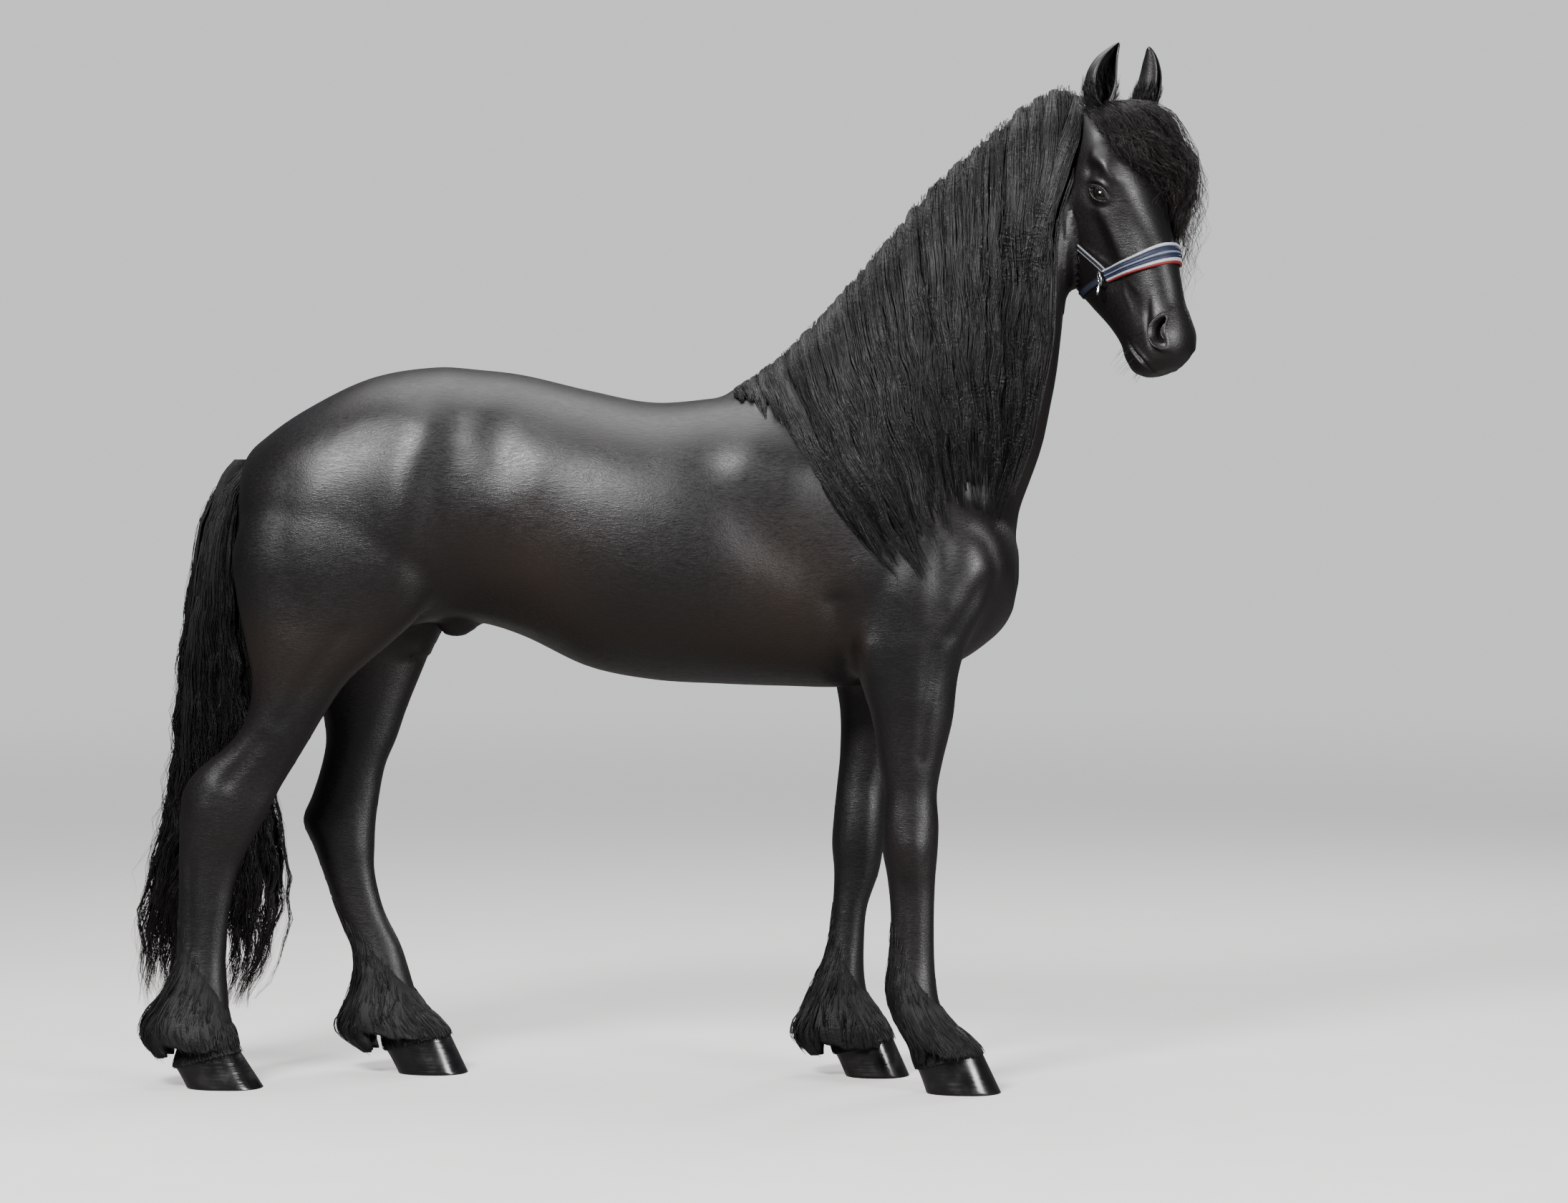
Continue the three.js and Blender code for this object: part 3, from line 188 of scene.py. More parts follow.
# A mesh object from points and sets of faces, turned inside out where its volume is negative
def makePiece(name, points, faceSets, materials=(), smooth=True):
    points = toRow(np.asarray(points, float))
    if signedVolume(points, faceSets) < 0:
        faceSets = [faces[:, ::-1] for faces in faceSets]
    mesh = bpy.data.meshes.new(name)
    mesh.vertices.add(len(points))
    mesh.vertices.foreach_set("co", points.astype(np.float32).ravel())
    loops = np.concatenate([faces.ravel() for faces in faceSets])
    sizes = np.concatenate([np.full(len(faces), faces.shape[1]) for faces in faceSets])
    mesh.loops.add(len(loops))
    mesh.loops.foreach_set("vertex_index", loops.astype(np.int32))
    mesh.polygons.add(len(sizes))
    mesh.polygons.foreach_set("loop_start", (np.cumsum(sizes) - sizes).astype(np.int32))
    mesh.update(calc_edges=True)
    mesh.validate()
    if smooth:
        mesh.shade_smooth()
    piece = bpy.data.objects.new(name, mesh)
    bpy.context.scene.collection.objects.link(piece)
    for material in materials:
        mesh.materials.append(material)
    return piece


# Shells as one set of points and faces, each turned to look outwards
def joinShells(shells):
    points, quads, tris, start = [], [], [], 0
    for shellPoints, faceSets in shells:
        if signedVolume(shellPoints, faceSets) < 0:
            faceSets = [faces[:, ::-1] for faces in faceSets]
        points.append(shellPoints)
        quads.append(faceSets[0] + start)
        tris.append(faceSets[1] + start)
        start += len(shellPoints)
    return np.concatenate(points), [np.concatenate(quads), np.concatenate(tris)]


# Points of a mesh (count, 3)
def pointsOf(mesh):
    flat = np.empty(len(mesh.vertices) * 3)
    mesh.vertices.foreach_get("co", flat)
    return flat.reshape(-1, 3)


# Normals at the points of a mesh (count, 3)
def normalsOf(mesh):
    flat = np.empty(len(mesh.vertices) * 3, np.float32)
    mesh.vertices.foreach_get("normal", flat)
    return flat.reshape(-1, 3).astype(float)


# Points put into a mesh
def setPoints(mesh, points):
    mesh.vertices.foreach_set("co", points.astype(np.float32).ravel())
    mesh.update()


# A number for each point of a mesh, or a map from a pair of numbers for each point
def addValue(mesh, name, values):
    mesh.attributes.new(name, "FLOAT", "POINT").data.foreach_set("value", values.astype(np.float32).ravel())


# UV map: each point's pair of values at every corner that uses it
def addMap(mesh, name, pairs):
    corners = np.empty(len(mesh.loops), np.int32)
    mesh.loops.foreach_get("vertex_index", corners)
    flat = pairs.reshape(-1, 2)[corners].astype(np.float32).ravel()
    mesh.uv_layers.new(name=name).data.foreach_set("uv", flat)


# The body that a piece rides on, and the nodes that it stands for, which are hidden; the slot of its finish
# is not used
def carry(piece, slot, *nodes):
    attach(piece, "root")
    if nodes:
        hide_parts(*nodes)


# Body: the key tables give upright sections of trunk, slanting sections of neck, and level sections of legs
body = {
    # rings and sides of each shell
    "trunkGrid": (130, 56), "neckGrid": (90, 56), "legGrid": (140, 36),
    # powers of the ovals above and below their middle, and the neck's shares above and below it
    "trunkSquare": (2.25, 2.15), "neckSquare": (1.8, 2.1), "legSquare": (2.1, 2.1), "neckSplit": (0.58, 0.42),
    # sheath: the ends of an egg, its radius and how flat it is
    "sheath": ((-700, 0, 1085), (-800, 0, 1050), 42, 0.8),
    # x, top, bottom, wide, mid
    "trunk": [
        (-1252, 1375, 1280, 60, 1325), (-1238, 1440, 1180, 142, 1315), (-1200, 1483, 1100, 200, 1300),
        (-1100, 1553, 1035, 250, 1300), (-950, 1625, 1030, 266, 1330), (-800, 1650, 1062, 276, 1370),
        (-700, 1644, 1058, 270, 1370), (-600, 1632, 1028, 270, 1345), (-450, 1597, 958, 294, 1290),
        (-300, 1569, 928, 307, 1255), (-150, 1580, 919, 298, 1245), (0, 1600, 914, 268, 1245),
        (150, 1570, 913, 244, 1240), (300, 1490, 940, 228, 1210), (400, 1420, 970, 206, 1195),
        (480, 1345, 1025, 168, 1190), (516, 1305, 1066, 126, 1190), (534, 1262, 1112, 80, 1190),
        (541, 1222, 1158, 30, 1190)],
    # s, crestX, crestZ, underX, underZ, wide, y
    "neck": [
        (0, -300, 1480, 260, 1080, 195, 0), (1, -135, 1588, 500, 1200, 186, 0),
        (2, -25, 1660, 545, 1330, 168, -2), (3, 100, 1772, 590, 1455, 146, -5),
        (4, 222, 1905, 612, 1555, 126, -11), (5, 335, 2035, 627, 1640, 111, -19),
        (6, 450, 2135, 636, 1720, 102, -28), (7, 560, 2222, 644, 1795, 96, -38),
        (8, 640, 2250, 658, 1855, 82, -46), (9, 675, 2235, 682, 1930, 48, -52)],
    # z, front, back, y, wide
    "foreRight": [
        (1400, 330, 150, 90, 60), (1310, 420, 160, 125, 85), (1220, 474, 152, 150, 86),
        (1110, 470, 147, 158, 84), (1020, 425, 148, 152, 81), (950, 404, 172, 143, 76),
        (850, 392, 203, 137, 66), (750, 368, 219, 133, 56), (680, 356, 230, 131, 51),
        (610, 360, 226, 130, 54), (550, 358, 227, 130, 51), (490, 353, 238, 130, 41),
        (400, 350, 246, 130, 36), (300, 351, 242, 130, 38), (240, 356, 240, 130, 46),
        (195, 366, 256, 130, 45), (150, 399, 290, 130, 44), (105, 440, 312, 130, 52),
        (40, 440, 340, 130, 48)],
    "foreLeft": [
        (1400, 330, 150, 90, 60), (1310, 415, 150, 125, 85), (1220, 452, 130, 150, 86),
        (1110, 425, 112, 158, 84), (1020, 365, 95, 152, 81), (950, 322, 105, 143, 76),
        (850, 288, 122, 137, 66), (750, 258, 122, 133, 56), (680, 240, 115, 131, 51),
        (600, 235, 107, 130, 54), (540, 229, 103, 130, 51), (475, 218, 108, 130, 41),
        (390, 190, 104, 130, 36), (300, 183, 93, 130, 38), (235, 184, 78, 130, 46), (190, 192, 82, 130, 45),
        (145, 216, 104, 130, 44), (100, 238, 118, 130, 51), (40, 240, 150, 130, 46)],
    "hindRight": [
        (1520, -880, -1060, 70, 60), (1430, -800, -1150, 125, 92), (1340, -758, -1212, 150, 106),
        (1220, -745, -1250, 160, 106), (1120, -790, -1240, 160, 94), (1020, -885, -1222, 157, 80),
        (930, -985, -1208, 152, 66), (850, -1042, -1222, 147, 57), (790, -1078, -1262, 143, 51),
        (735, -1112, -1330, 140, 47), (690, -1140, -1366, 138, 47), (640, -1166, -1376, 136, 49),
        (580, -1198, -1380, 134, 46), (500, -1238, -1382, 132, 38), (400, -1260, -1384, 131, 35),
        (300, -1270, -1388, 130, 38), (240, -1268, -1392, 130, 46), (195, -1264, -1376, 130, 45),
        (150, -1264, -1352, 130, 44), (100, -1256, -1362, 130, 50), (40, -1240, -1340, 130, 46)],
    "hindLeft": [
        (1520, -880, -1060, 70, 60), (1430, -800, -1150, 125, 92), (1340, -758, -1212, 150, 106),
        (1220, -735, -1240, 160, 106), (1120, -765, -1220, 160, 94), (1020, -820, -1180, 157, 80),
        (930, -858, -1130, 152, 68), (850, -890, -1095, 147, 59), (780, -914, -1084, 143, 52),
        (720, -939, -1094, 140, 48), (650, -953, -1116, 138, 47), (590, -961, -1138, 136, 49),
        (530, -964, -1114, 134, 46), (470, -964, -1092, 132, 39), (380, -942, -1060, 131, 35),
        (300, -903, -1026, 130, 38), (235, -882, -1006, 130, 46), (190, -868, -985, 130, 45),
        (145, -840, -940, 130, 44), (105, -797, -915, 130, 50), (40, -790, -890, 130, 46)],
}
legSides = {"foreRight": -1, "foreLeft": 1, "hindRight": -1, "hindLeft": 1}


# Places of a table's rows from its first to its last
def rowsOf(table, count):
    return np.linspace(table[0][0], table[-1][0], count)


# Trunk: at each x an upright power-oval about its mid height
def trunkShell():
    rows, sides = body["trunkGrid"]
    x = rowsOf(body["trunk"], rows)
    top, bottom, wide, mid = readKeys(body["trunk"], x).T[:, :, None]
    across, up = oval(turnsOf(sides)[None], wide, top - mid, mid - bottom, *body["trunkSquare"])
    return loft(together(x[:, None], across, mid + up))


# Neck: each ring is a power-oval in the upright plane through a crest point and an underline point
def neckShell():
    rows, sides = body["neckGrid"]
    above, below = body["neckSplit"]
    crestX, crestZ, underX, underZ, wide, y = readKeys(body["neck"], rowsOf(body["neck"], rows)).T
    crest = np.stack([crestX, y, crestZ], axis=-1)
    under = np.stack([underX, y, underZ], axis=-1)
    long = np.linalg.norm(crest - under, axis=-1, keepdims=True)
    rise = (crest - under) / long
    middle = under + rise * long * below
    across, along = oval(turnsOf(sides)[None], wide[:, None], long * above, long * below, *body["neckSquare"])
    rings = middle[:, None] + rise[:, None] * along[..., None]
    rings[..., 1] += across
    return loft(rings)


# Leg: at each z a level power-oval
def legShell(name):
    rows, sides = body["legGrid"]
    z = rowsOf(body[name], rows)
    front, back, y, wide = readKeys(body[name], z).T[:, :, None]
    deep = (front - back) / 2
    across, along = oval(turnsOf(sides)[None], wide, deep, deep, *body["legSquare"])
    return loft(together((front + back) / 2 + along, legSides[name] * y + across, z[:, None]))


# Egg: a ball stretched along the line between two points and flattened across the horse
def eggShell(start, end, radius, flat):
    start, end = np.array(start, float), np.array(end, float)
    long = end - start
    half = np.linalg.norm(long) / 2
    long /= 2 * half
    third = np.cross(long, (0, 1, 0))
    third = unit(third)
    across = np.cross(third, long)
    v = np.linspace(0.03, np.pi - 0.03, 24)[:, None, None]
    u = turnsOf(32)[None, :, None]
    girth = np.sin(v) * radius * (np.cos(u) * third + np.sin(u) * flat * across)
    return loft((start + end) / 2 - np.cos(v) * half * long + girth)


# Head: power-ovals across the face line, with swellings pushed out from them
head = {
    "yaw": 38.0, "pitch": 17.5, "origin": (784, -105, 2252), "grid": (130, 72),
    # t, front, back, wide, mid, squareFront, squareBack
    "keys": [
        (-14, -72, -112, 26, -92, 2, 2), (0, -48, -140, 58, -92, 2, 2), (40, -18, -190, 80, -88, 2.3, 2),
        (90, 0, -240, 92, -85, 2.6, 1.9), (140, 8, -278, 102, -78, 2.7, 1.8),
        (190, 7, -300, 102, -75, 2.6, 1.75), (240, 4, -304, 91, -80, 2.4, 1.75),
        (300, 5, -294, 77, -86, 2.3, 1.75), (360, 8, -268, 67, -86, 2.3, 1.8),
        (420, 5, -234, 61, -84, 2.2, 1.9), (480, 0, -198, 58, -82, 2.2, 2),
        (530, 1, -176, 61, -78, 2.3, 2.1), (568, -5, -168, 62, -80, 2.3, 2.2),
        (600, -24, -156, 54, -88, 2.2, 2.2), (622, -56, -134, 34, -95, 2, 2)],
    # down, front, side, reach down, reach front, reach side, rise
    "swells": [
        (150, -48, 92, 34, 30, 30, 9), (215, -200, 62, 75, 70, 60, 17), (300, -78, 62, 70, 18, 34, 6),
        (330, -125, 55, 70, 26, 34, -6), (85, -30, 70, 26, 26, 28, -5), (545, -38, 58, 32, 26, 30, 10),
        (598, -75, 46, 24, 45, 36, 5), (598, -140, 36, 22, 26, 40, 4), (565, -168, 0, 26, 20, 34, 6)],
}
yaw, facePitch = math.radians(head["yaw"]), math.radians(head["pitch"])
headOrigin = np.array(head["origin"], float)
level = np.array([math.cos(yaw), -math.sin(yaw), 0.0])
headDown = math.sin(facePitch) * level - np.array([0, 0, math.cos(facePitch)])
headFront = math.cos(facePitch) * level + np.array([0, 0, math.sin(facePitch)])
headLeft = np.array([math.sin(yaw), math.cos(yaw), 0.0])


# From places down the face, out of it and to its left to points, and back
def onHead(down, front, side):
    return (headOrigin + np.multiply.outer(down, headDown) + np.multiply.outer(front, headFront)
            + np.multiply.outer(side, headLeft))


# From a point to its distances down, front and left from the head's origin
def inHead(points):
    away = points - headOrigin
    return away @ headDown, away @ headFront, away @ headLeft


# Swellings: the sum of high * exp(-(d / rd)^2 - (f / rf)^2 - (s / rs)^2) about each one's middle
def headRise(down, front, side):
    rise = 0
    for d, f, s, rd, rf, rs, high in head["swells"]:
        gap = ((down - d) / rd) ** 2 + ((front - f) / rf) ** 2 + ((np.abs(side) - s) / rs) ** 2
        rise = rise + high * np.exp(-gap)
    return rise


# A point off the head's skin at a place down the face and a turn (0 left, 90 degrees front)
def onSkin(down, turn, away):
    down, turn = np.broadcast_arrays(np.asarray(down, float), np.asarray(turn, float))
    front, back, wide, mid, squareFront, squareBack = np.moveaxis(readKeys(head["keys"], down), -1, 0)
    side, out = oval(turn, wide, front - mid, mid - back, squareFront, squareBack)
    push = 1 + (headRise(down, mid + out, side) + away) / np.hypot(side, out)
    return onHead(down, mid + out * push, side * push)


# Head: the skin's own ovals from poll to chin
def headShell():
    rows, sides = head["grid"]
    return loft(onSkin(rowsOf(head["keys"], rows)[:, None], turnsOf(sides)[None], 0.0))


# Skin: shells joined by a fine voxel remesh, smoothed without shrinking, the head set on its sections
skinBuild = {
    "voxel": 0.0116, "smoothing": 10, "steps": (0.55, -0.53), "coatDepth": 2.0,
    # smoothing: its weight grows over these heights, fades over these x and is never below least
    "softHigh": (900, 1120), "softAhead": (560, 700), "least": 0.12,
    # part of the head that is set on its sections and blended out at its ends, and its reach
    "fit": {"from": (-5, 30), "to": (606, 618), "side": 140, "front": 60, "back": -360, "miss": 8.0},
    # where the skin is cut finer: the whole head, then balls about places down, out of and across the face
    "headFine": {"from": 15, "to": 640, "side": 135, "back": -330},
    "spots": [[(206, -80, 90, 62), (545, -42, 56, 58), (595, -100, 30, 62)],
              [(206, -80, 100, 42), (543, -36, 58, 44)]],
}


# A piece's shells as one closed surface of voxels
def remeshed(piece, voxel):
    remesh = piece.modifiers.new("remesh", "REMESH")
    remesh.mode = "VOXEL"
    remesh.voxel_size = voxel
    remesh.adaptivity = 0
    mesh = bpy.data.meshes.new_from_object(piece.evaluated_get(bpy.context.evaluated_depsgraph_get()))
    bpy.data.objects.remove(piece)
    return mesh


# Each point moves towards the mean of its neighbours and back again, so that noise goes and size stays
def smoothPoints(mesh, points, weight):
    edges = np.empty(len(mesh.edges) * 2, np.int32)
    mesh.edges.foreach_get("vertices", edges)
    a, b = edges.reshape(-1, 2).T
    count = np.bincount(a, minlength=len(points)) + np.bincount(b, minlength=len(points))
    for i in range(skinBuild["smoothing"] * 2):
        mean = np.stack([np.bincount(a, points[b, k], len(points)) + np.bincount(b, points[a, k], len(points))
                         for k in range(3)], axis=-1) / count[:, None]
        points = points + (mean - points) * skinBuild["steps"][i % 2] * weight[:, None]
    return points


# Points near the head's sections are scaled about the section's middle onto its power-oval
def fitHead(points):
    fit = skinBuild["fit"]
    down, front, side = inHead(points)
    near = (down > fit["from"][0]) & (down < fit["to"][1]) & (np.abs(side) < fit["side"])
    near &= (front < fit["front"]) & (front > fit["back"])
    down, front, side = down[near], front[near], side[near]
    ahead, back, wide, mid, squareFront, squareBack = readKeys(head["keys"], down).T
    up = front - mid
    half = np.where(up > 0, ahead - mid, mid - back)
    power = np.where(up > 0, squareFront, squareBack)
    scale = (np.abs(side / wide) ** power + np.abs(up / half) ** power) ** (-1 / power)
    reach = np.hypot(side, up)
    off = reach * scale + headRise(down, mid + up * scale, side * scale) - reach
    weight = 1 - ease(fit["miss"], fit["miss"] * 2, np.abs(off))
    weight *= ease(*fit["from"], down) * (1 - ease(*fit["to"], down))
    push = 1 + off * weight / np.maximum(reach, 1)
    moved = points.copy()
    moved[near] = onHead(down, mid + up * push, side * push)
    return moved


# Whether each point is in the part of the head that is cut finer, or in one of the balls about the spots
def cutFiner(points, spots):
    down, front, side = inHead(points)
    side = np.abs(side)
    if spots is None:
        part = skinBuild["headFine"]
        return (down > part["from"]) & (down < part["to"]) & (side < part["side"]) & (front > part["back"])
    inside = np.zeros(len(points), bool)
    for d, f, s, reach in spots:
        inside |= (down - d) ** 2 + (front - f) ** 2 + (side - s) ** 2 < reach**2
    return inside


# The skin's mesh from the shells of trunk, neck, head, sheath and legs
def makeSkinMesh():
    shells = [trunkShell(), neckShell(), headShell(), eggShell(*body["sheath"])]
    shells += [legShell(name) for name in legSides]
    points, faceSets = joinShells(shells)
    mesh = remeshed(makePiece("skinRough", points, faceSets), skinBuild["voxel"])
    points = (pointsOf(mesh) - shift) * 1000
    x, _, z = points.T
    weight = ease(*skinBuild["softHigh"], z) * (1 - ease(*skinBuild["softAhead"], x))
    setPoints(mesh, smoothPoints(mesh, points, np.clip(weight, skinBuild["least"], 1)))
    stage("skin remeshed, %d points" % len(points))
    work = bmesh.new()
    work.from_mesh(mesh)
    for spots in [None] + skinBuild["spots"]:
        work.to_mesh(mesh)
        inside = cutFiner(pointsOf(mesh), spots)
        edges = [edge for edge in work.edges if inside[edge.verts[0].index] and inside[edge.verts[1].index]]
        bmesh.ops.subdivide_edges(work, edges=edges, cuts=1, use_grid_fill=True, smooth=0.0)
        work.verts.index_update()
    bmesh.ops.triangulate(work, faces=[f for f in work.faces if len(f.verts) > 4])
    work.to_mesh(mesh)
    work.free()
    setPoints(mesh, fitHead(pointsOf(mesh)))
    stage("head cut finer, %d points" % len(mesh.vertices))
    return mesh


skinMesh = makeSkinMesh()


# Lids, cheeks, nostrils and mouth are pressed into the fine parts of the skin
eye = {"down": 206, "front": -80, "side": 79, "long": 31, "high": 25, "out": 24}
face = {
    "lidHalf": 26.0, "lidUpper": 14.5, "lidLower": 10.5, "lidSlant": 38.0,
    # socket: depth and reach; domes of the lids and of the hollow between them: half long, half high, out
    "socket": (4.5, 34), "lidDome": (36, 28, 27), "lidHollow": (30, 20, 15),
    # brow, a fold under it and one under the lower lid: height, place up, bend, reach, place along, reach
    "folds": [(5.5, 27, 0.012, 8, -4, 27), (-3.4, 19.5, 0.012, 2.8, -2, 25),
              (-2.2, -17.5, -0.010, 2.6, 2, 22)],
    # down, front, half long, half wide, slant, depth, height of its rim, the rim's place and reach
    "nostril": (540, -36, 33.0, 15.0, -22.0, 27.0, 6.5, 1.26, 0.22),
    # mouth: down and front of its line, its depth and reach, and the lips' height, offset and reach
    "mouth": [(500, -129.5), (545, -126), (600, -97), (640, -92)],
    "mouthDeep": (7.0, 2.6), "lips": (2.2, 10, 6.5),
    # ridges and hollows of the cheek: path of down and front, reach, height
    "ridges": [([(238, -92), (300, -84), (352, -84)], 15, 3.0),
               ([(262, -112), (330, -104), (365, -98)], 15, -1.6),
               ([(300, -170), (350, -130), (395, -92), (440, -66)], 5, 1.6),
               ([(392, -96), (430, -104), (470, -98)], 4.5, 1.2), ([(150, -78), (156, -62)], 17, -7),
               ([(120, -62), (150, -38), (185, -28)], 12, 4.5),
               ([(395, -92), (450, -84), (500, -70)], 22, -3.2),
               ([(180, -150), (250, -205), (330, -232)], 11, 2.5)],
}
slant = math.radians(face["lidSlant"])


# Almond: half height is upper or lower * (1 - t^2)^0.8, t being the share of the half length
def lidHeight(along, up):
    share = np.clip(np.abs(along) / face["lidHalf"], 0, 1)
    return np.where(up > 0, face["lidUpper"], face["lidLower"]) * (1 - share**2) ** 0.8


# Distance to a path of two coordinates, for every point
def pathGap(points, path):
    path = np.array(path, float)
    gap = np.full(len(points), np.inf)
    for a, b in zip(path[:-1], path[1:]):
        t = np.clip(((points - a) @ (b - a)) / ((b - a) @ (b - a)), 0, 1)
        gap = np.minimum(gap, np.linalg.norm(points - a - t[:, None] * (b - a), axis=1))
    return gap


# Rounded greatest of two: (a + b + sqrt((a - b)^2 + soft^2)) / 2
def smoothMax(a, b, soft):
    return (a + b + np.sqrt((a - b) ** 2 + soft**2)) / 2


# Coordinates turned by an angle about a middle
def turned(down, front, middle, angle):
    d, f = down - middle[0], front - middle[1]
    return d * math.cos(angle) + f * math.sin(angle), -d * math.sin(angle) + f * math.cos(angle)


# Eye: a shallow socket, the lids as a low dome in it, brow, folds, a rim round the slit and its hollow
def carveEye(down, front, out, near):
    along, up = turned(down, front, (eye["down"], eye["front"]), slant)
    deep, reach = face["socket"]
    socket = out - deep * np.exp(-((np.hypot(along / 1.15, up) / reach) ** 4))
    long, high, far = face["lidDome"]
    dome = 1 - (along / long) ** 2 - (up / high) ** 2
    lids = eye["side"] + far * np.sqrt(np.clip(dome, 0, 1)) + 90 * np.clip(dome, -3, 0)
    out = np.where(near, smoothMax(socket, lids, 3.0), out)
    for high, place, bend, reach, middle, half in face["folds"]:
        fold = np.exp(-(((up - place + bend * along**2) / reach) ** 2) - ((along - middle) / half) ** 4)
        out = out + near * high * fold
    within = np.abs(along) < face["lidHalf"]
    share = np.where(within, np.abs(up) / np.maximum(lidHeight(along, up), 0.4), 9)
    out = out + near * bell(share - 1.1, 0.1) * within
    long, high, far = face["lidHollow"]
    hollow = eye["side"] + far * np.sqrt(np.clip(1 - (along / long) ** 2 - (up / high) ** 2, 0, 1))
    return out + (np.minimum(hollow, out) - out) * near * (1 - ease(0.86, 1.0, share))


# Nostril: a slanting hollow, deepest in its middle, with a rolled rim that is fullest behind and below,
# and a groove that runs up from behind it
def carveNostril(down, front, out):
    middleDown, middleFront, long, wide, turn, deep, rimHigh, rimAway, rimReach = face["nostril"]
    along, across = turned(down, front, (middleDown, middleFront), math.radians(turn))
    across = across - 8 * ((along + 4) / long) ** 2 + 2
    half = wide * (1 + 0.25 * np.clip(along / long, -1, 1))
    spread = np.sqrt((along / long) ** 2 + (across / half) ** 2)
    there = (down > 470) & (down < 620) & (front > -115) & (out > 12)
    full = 1 + 0.8 * np.clip((along / long - across / wide) * 0.6, -1, 1)
    out = out - np.where(there, deep * (1 - ease(0.55, 0.98, spread)), 0)
    out = out + np.where(there, rimHigh * full * bell(spread - rimAway, rimReach), 0)
    line = -64 + 0.0022 * (down - 545) ** 2 * np.where(down < 545, 1, 0.6)
    groove = bell(front - line, 9) * ease(430, 490, down) * (1 - ease(560, 585, down))
    return out - 3.6 * groove * (out > 15)


# Mouth: a groove along its line between two soft lips, pressed in towards the middle of the muzzle
def mouthPush(down, front, side):
    line = readKeys(face["mouth"], np.clip(down, 500, 640))[:, 0]
    deep, reach = face["mouthDeep"]
    lipHigh, lipAway, lipReach = face["lips"]
    groove = bell(front - line, reach) * ease(515, 545, down)
    lips = bell(front - line - lipAway, lipReach) + 0.9 * bell(front - line + lipAway, lipReach)
    inward = np.stack([front + 92, side], axis=-1)
    inward /= np.maximum(np.linalg.norm(inward, axis=1, keepdims=True), 1)
    push = (deep * groove - lipHigh * lips * ease(530, 570, down)) * (down > 500)
    return push[:, None] * (inward[:, :1] * headFront + inward[:, 1:] * headLeft)


# Face: ridges raise it by high * bell(gap, reach), then eye, nostril and mouth are carved
def carveFace(points):
    down, front, side = inHead(points)
    out = np.abs(side)
    near = (down > 100) & (down < 300) & (front > -190) & (front < 20) & (out > 30)
    cheek = (out > 15) & (down > 60) & (down < 560)
    for path, reach, high in face["ridges"]:
        gap = pathGap(np.stack([down, front], axis=1), path)
        out = out + np.where(cheek, high * ease(20, 50, out) * bell(gap, reach), 0)
    out = carveNostril(down, front, carveEye(down, front, out, near))
    moved = onHead(down, front, np.sign(side) * out) - mouthPush(down, front, side)
    keep = near | cheek | (down > 420)
    return np.where(keep[:, None], moved, points)


skinPoints = carveFace(pointsOf(skinMesh))
setPoints(skinMesh, skinPoints)
coverPoints = skinPoints.copy()

# Muscle lines and folds: ridges and hollows along paths of x, z, where the skin of either side faces out
form = {
    # path of x, z, then reach and height; negative heights are hollows
    "front of thigh": ([(-800, 1500), (-836, 1400), (-856, 1250), (-850, 1140), (-838, 1050)], 60, 9),
    "point of hip": ([(-684, 1540), (-694, 1500)], 46, 6),
    "flank": ([(-728, 1500), (-752, 1420), (-758, 1300), (-742, 1210), (-712, 1120)], 66, -9),
    "thigh": ([(-852, 1330), (-856, 1180)], 76, 4),
    "upper flank": ([(-640, 1500), (-610, 1440)], 60, -5),
    "last rib": ([(-560, 1430), (-590, 1330), (-575, 1190)], 62, 7),
    "stifle fold": ([(-560, 1050), (-650, 1075), (-730, 1085)], 18, 7),
    "stifle": ([(-815, 1050), (-845, 985)], 46, 11),
    "croup": ([(-1130, 1480), (-1000, 1540), (-880, 1560)], 60, 5),
    "buttock line": ([(-1110, 1380), (-1122, 1300), (-1118, 1200), (-1090, 1080)], 44, -4),
    "gaskin line": ([(-985, 1050), (-1070, 930), (-1130, 840)], 17, -5),
    "hock hollow": ([(-1180, 800), (-1262, 700)], 16, -5),
    "shoulder blade": ([(-50, 1450), (20, 1420)], 76, 14),
    "behind the shoulder": ([(-150, 1420), (-60, 1280), (60, 1200)], 60, -6),
    "upper arm": ([(225, 1180), (330, 1130)], 66, 10),
    "point of shoulder": ([(452, 1290), (482, 1205)], 70, 24),
    "behind the elbow": ([(130, 1110), (136, 1040), (140, 950)], 28, -15),
    "shoulder groove": ([(372, 1250), (362, 1190), (350, 1105)], 30, -6),
    "breast groove": ([(455, 1160), (420, 1090), (385, 1040)], 18, -6),
    "elbow": ([(196, 1010), (205, 960)], 26, 8),
    "forearm line": ([(355, 1010), (330, 880), (318, 760)], 13, -4),
    "forearm muscle": ([(300, 1020), (300, 900)], 36, 5),
    "knee": ([(300, 560), (302, 505)], 32, 6),
    "fore tendon": ([(280, 480), (272, 390), (268, 320)], 11, -4),
    "hock": ([(-1300, 690), (-1325, 640)], 30, 5),
    "hind tendon": ([(-1350, 520), (-1352, 400), (-1350, 320)], 11, -4),
}


# Rise of each point: the sum of height * exp(-(gap / reach)^2) over the paths. The left legs stand in other
# places than the right ones, so the paths of the legs leave them out
def formRise(points, normals):
    x, y, z = points.T
    down = inHead(points)[0]
    sideways = np.abs(normals[:, 1]) ** 0.8 * (1 - ease(-60, 40, down) * (x > 560))
    rise = sum(high * bell(pathGap(points[:, [0, 2]], path), reach) for path, reach, high in form.values())
    leftLegs = (y >= 0) & ((z < 1060) & (x > 0) | (z < 980) & (x < -500))
    return rise * sideways * ~leftLegs * (np.abs(y) > 55)


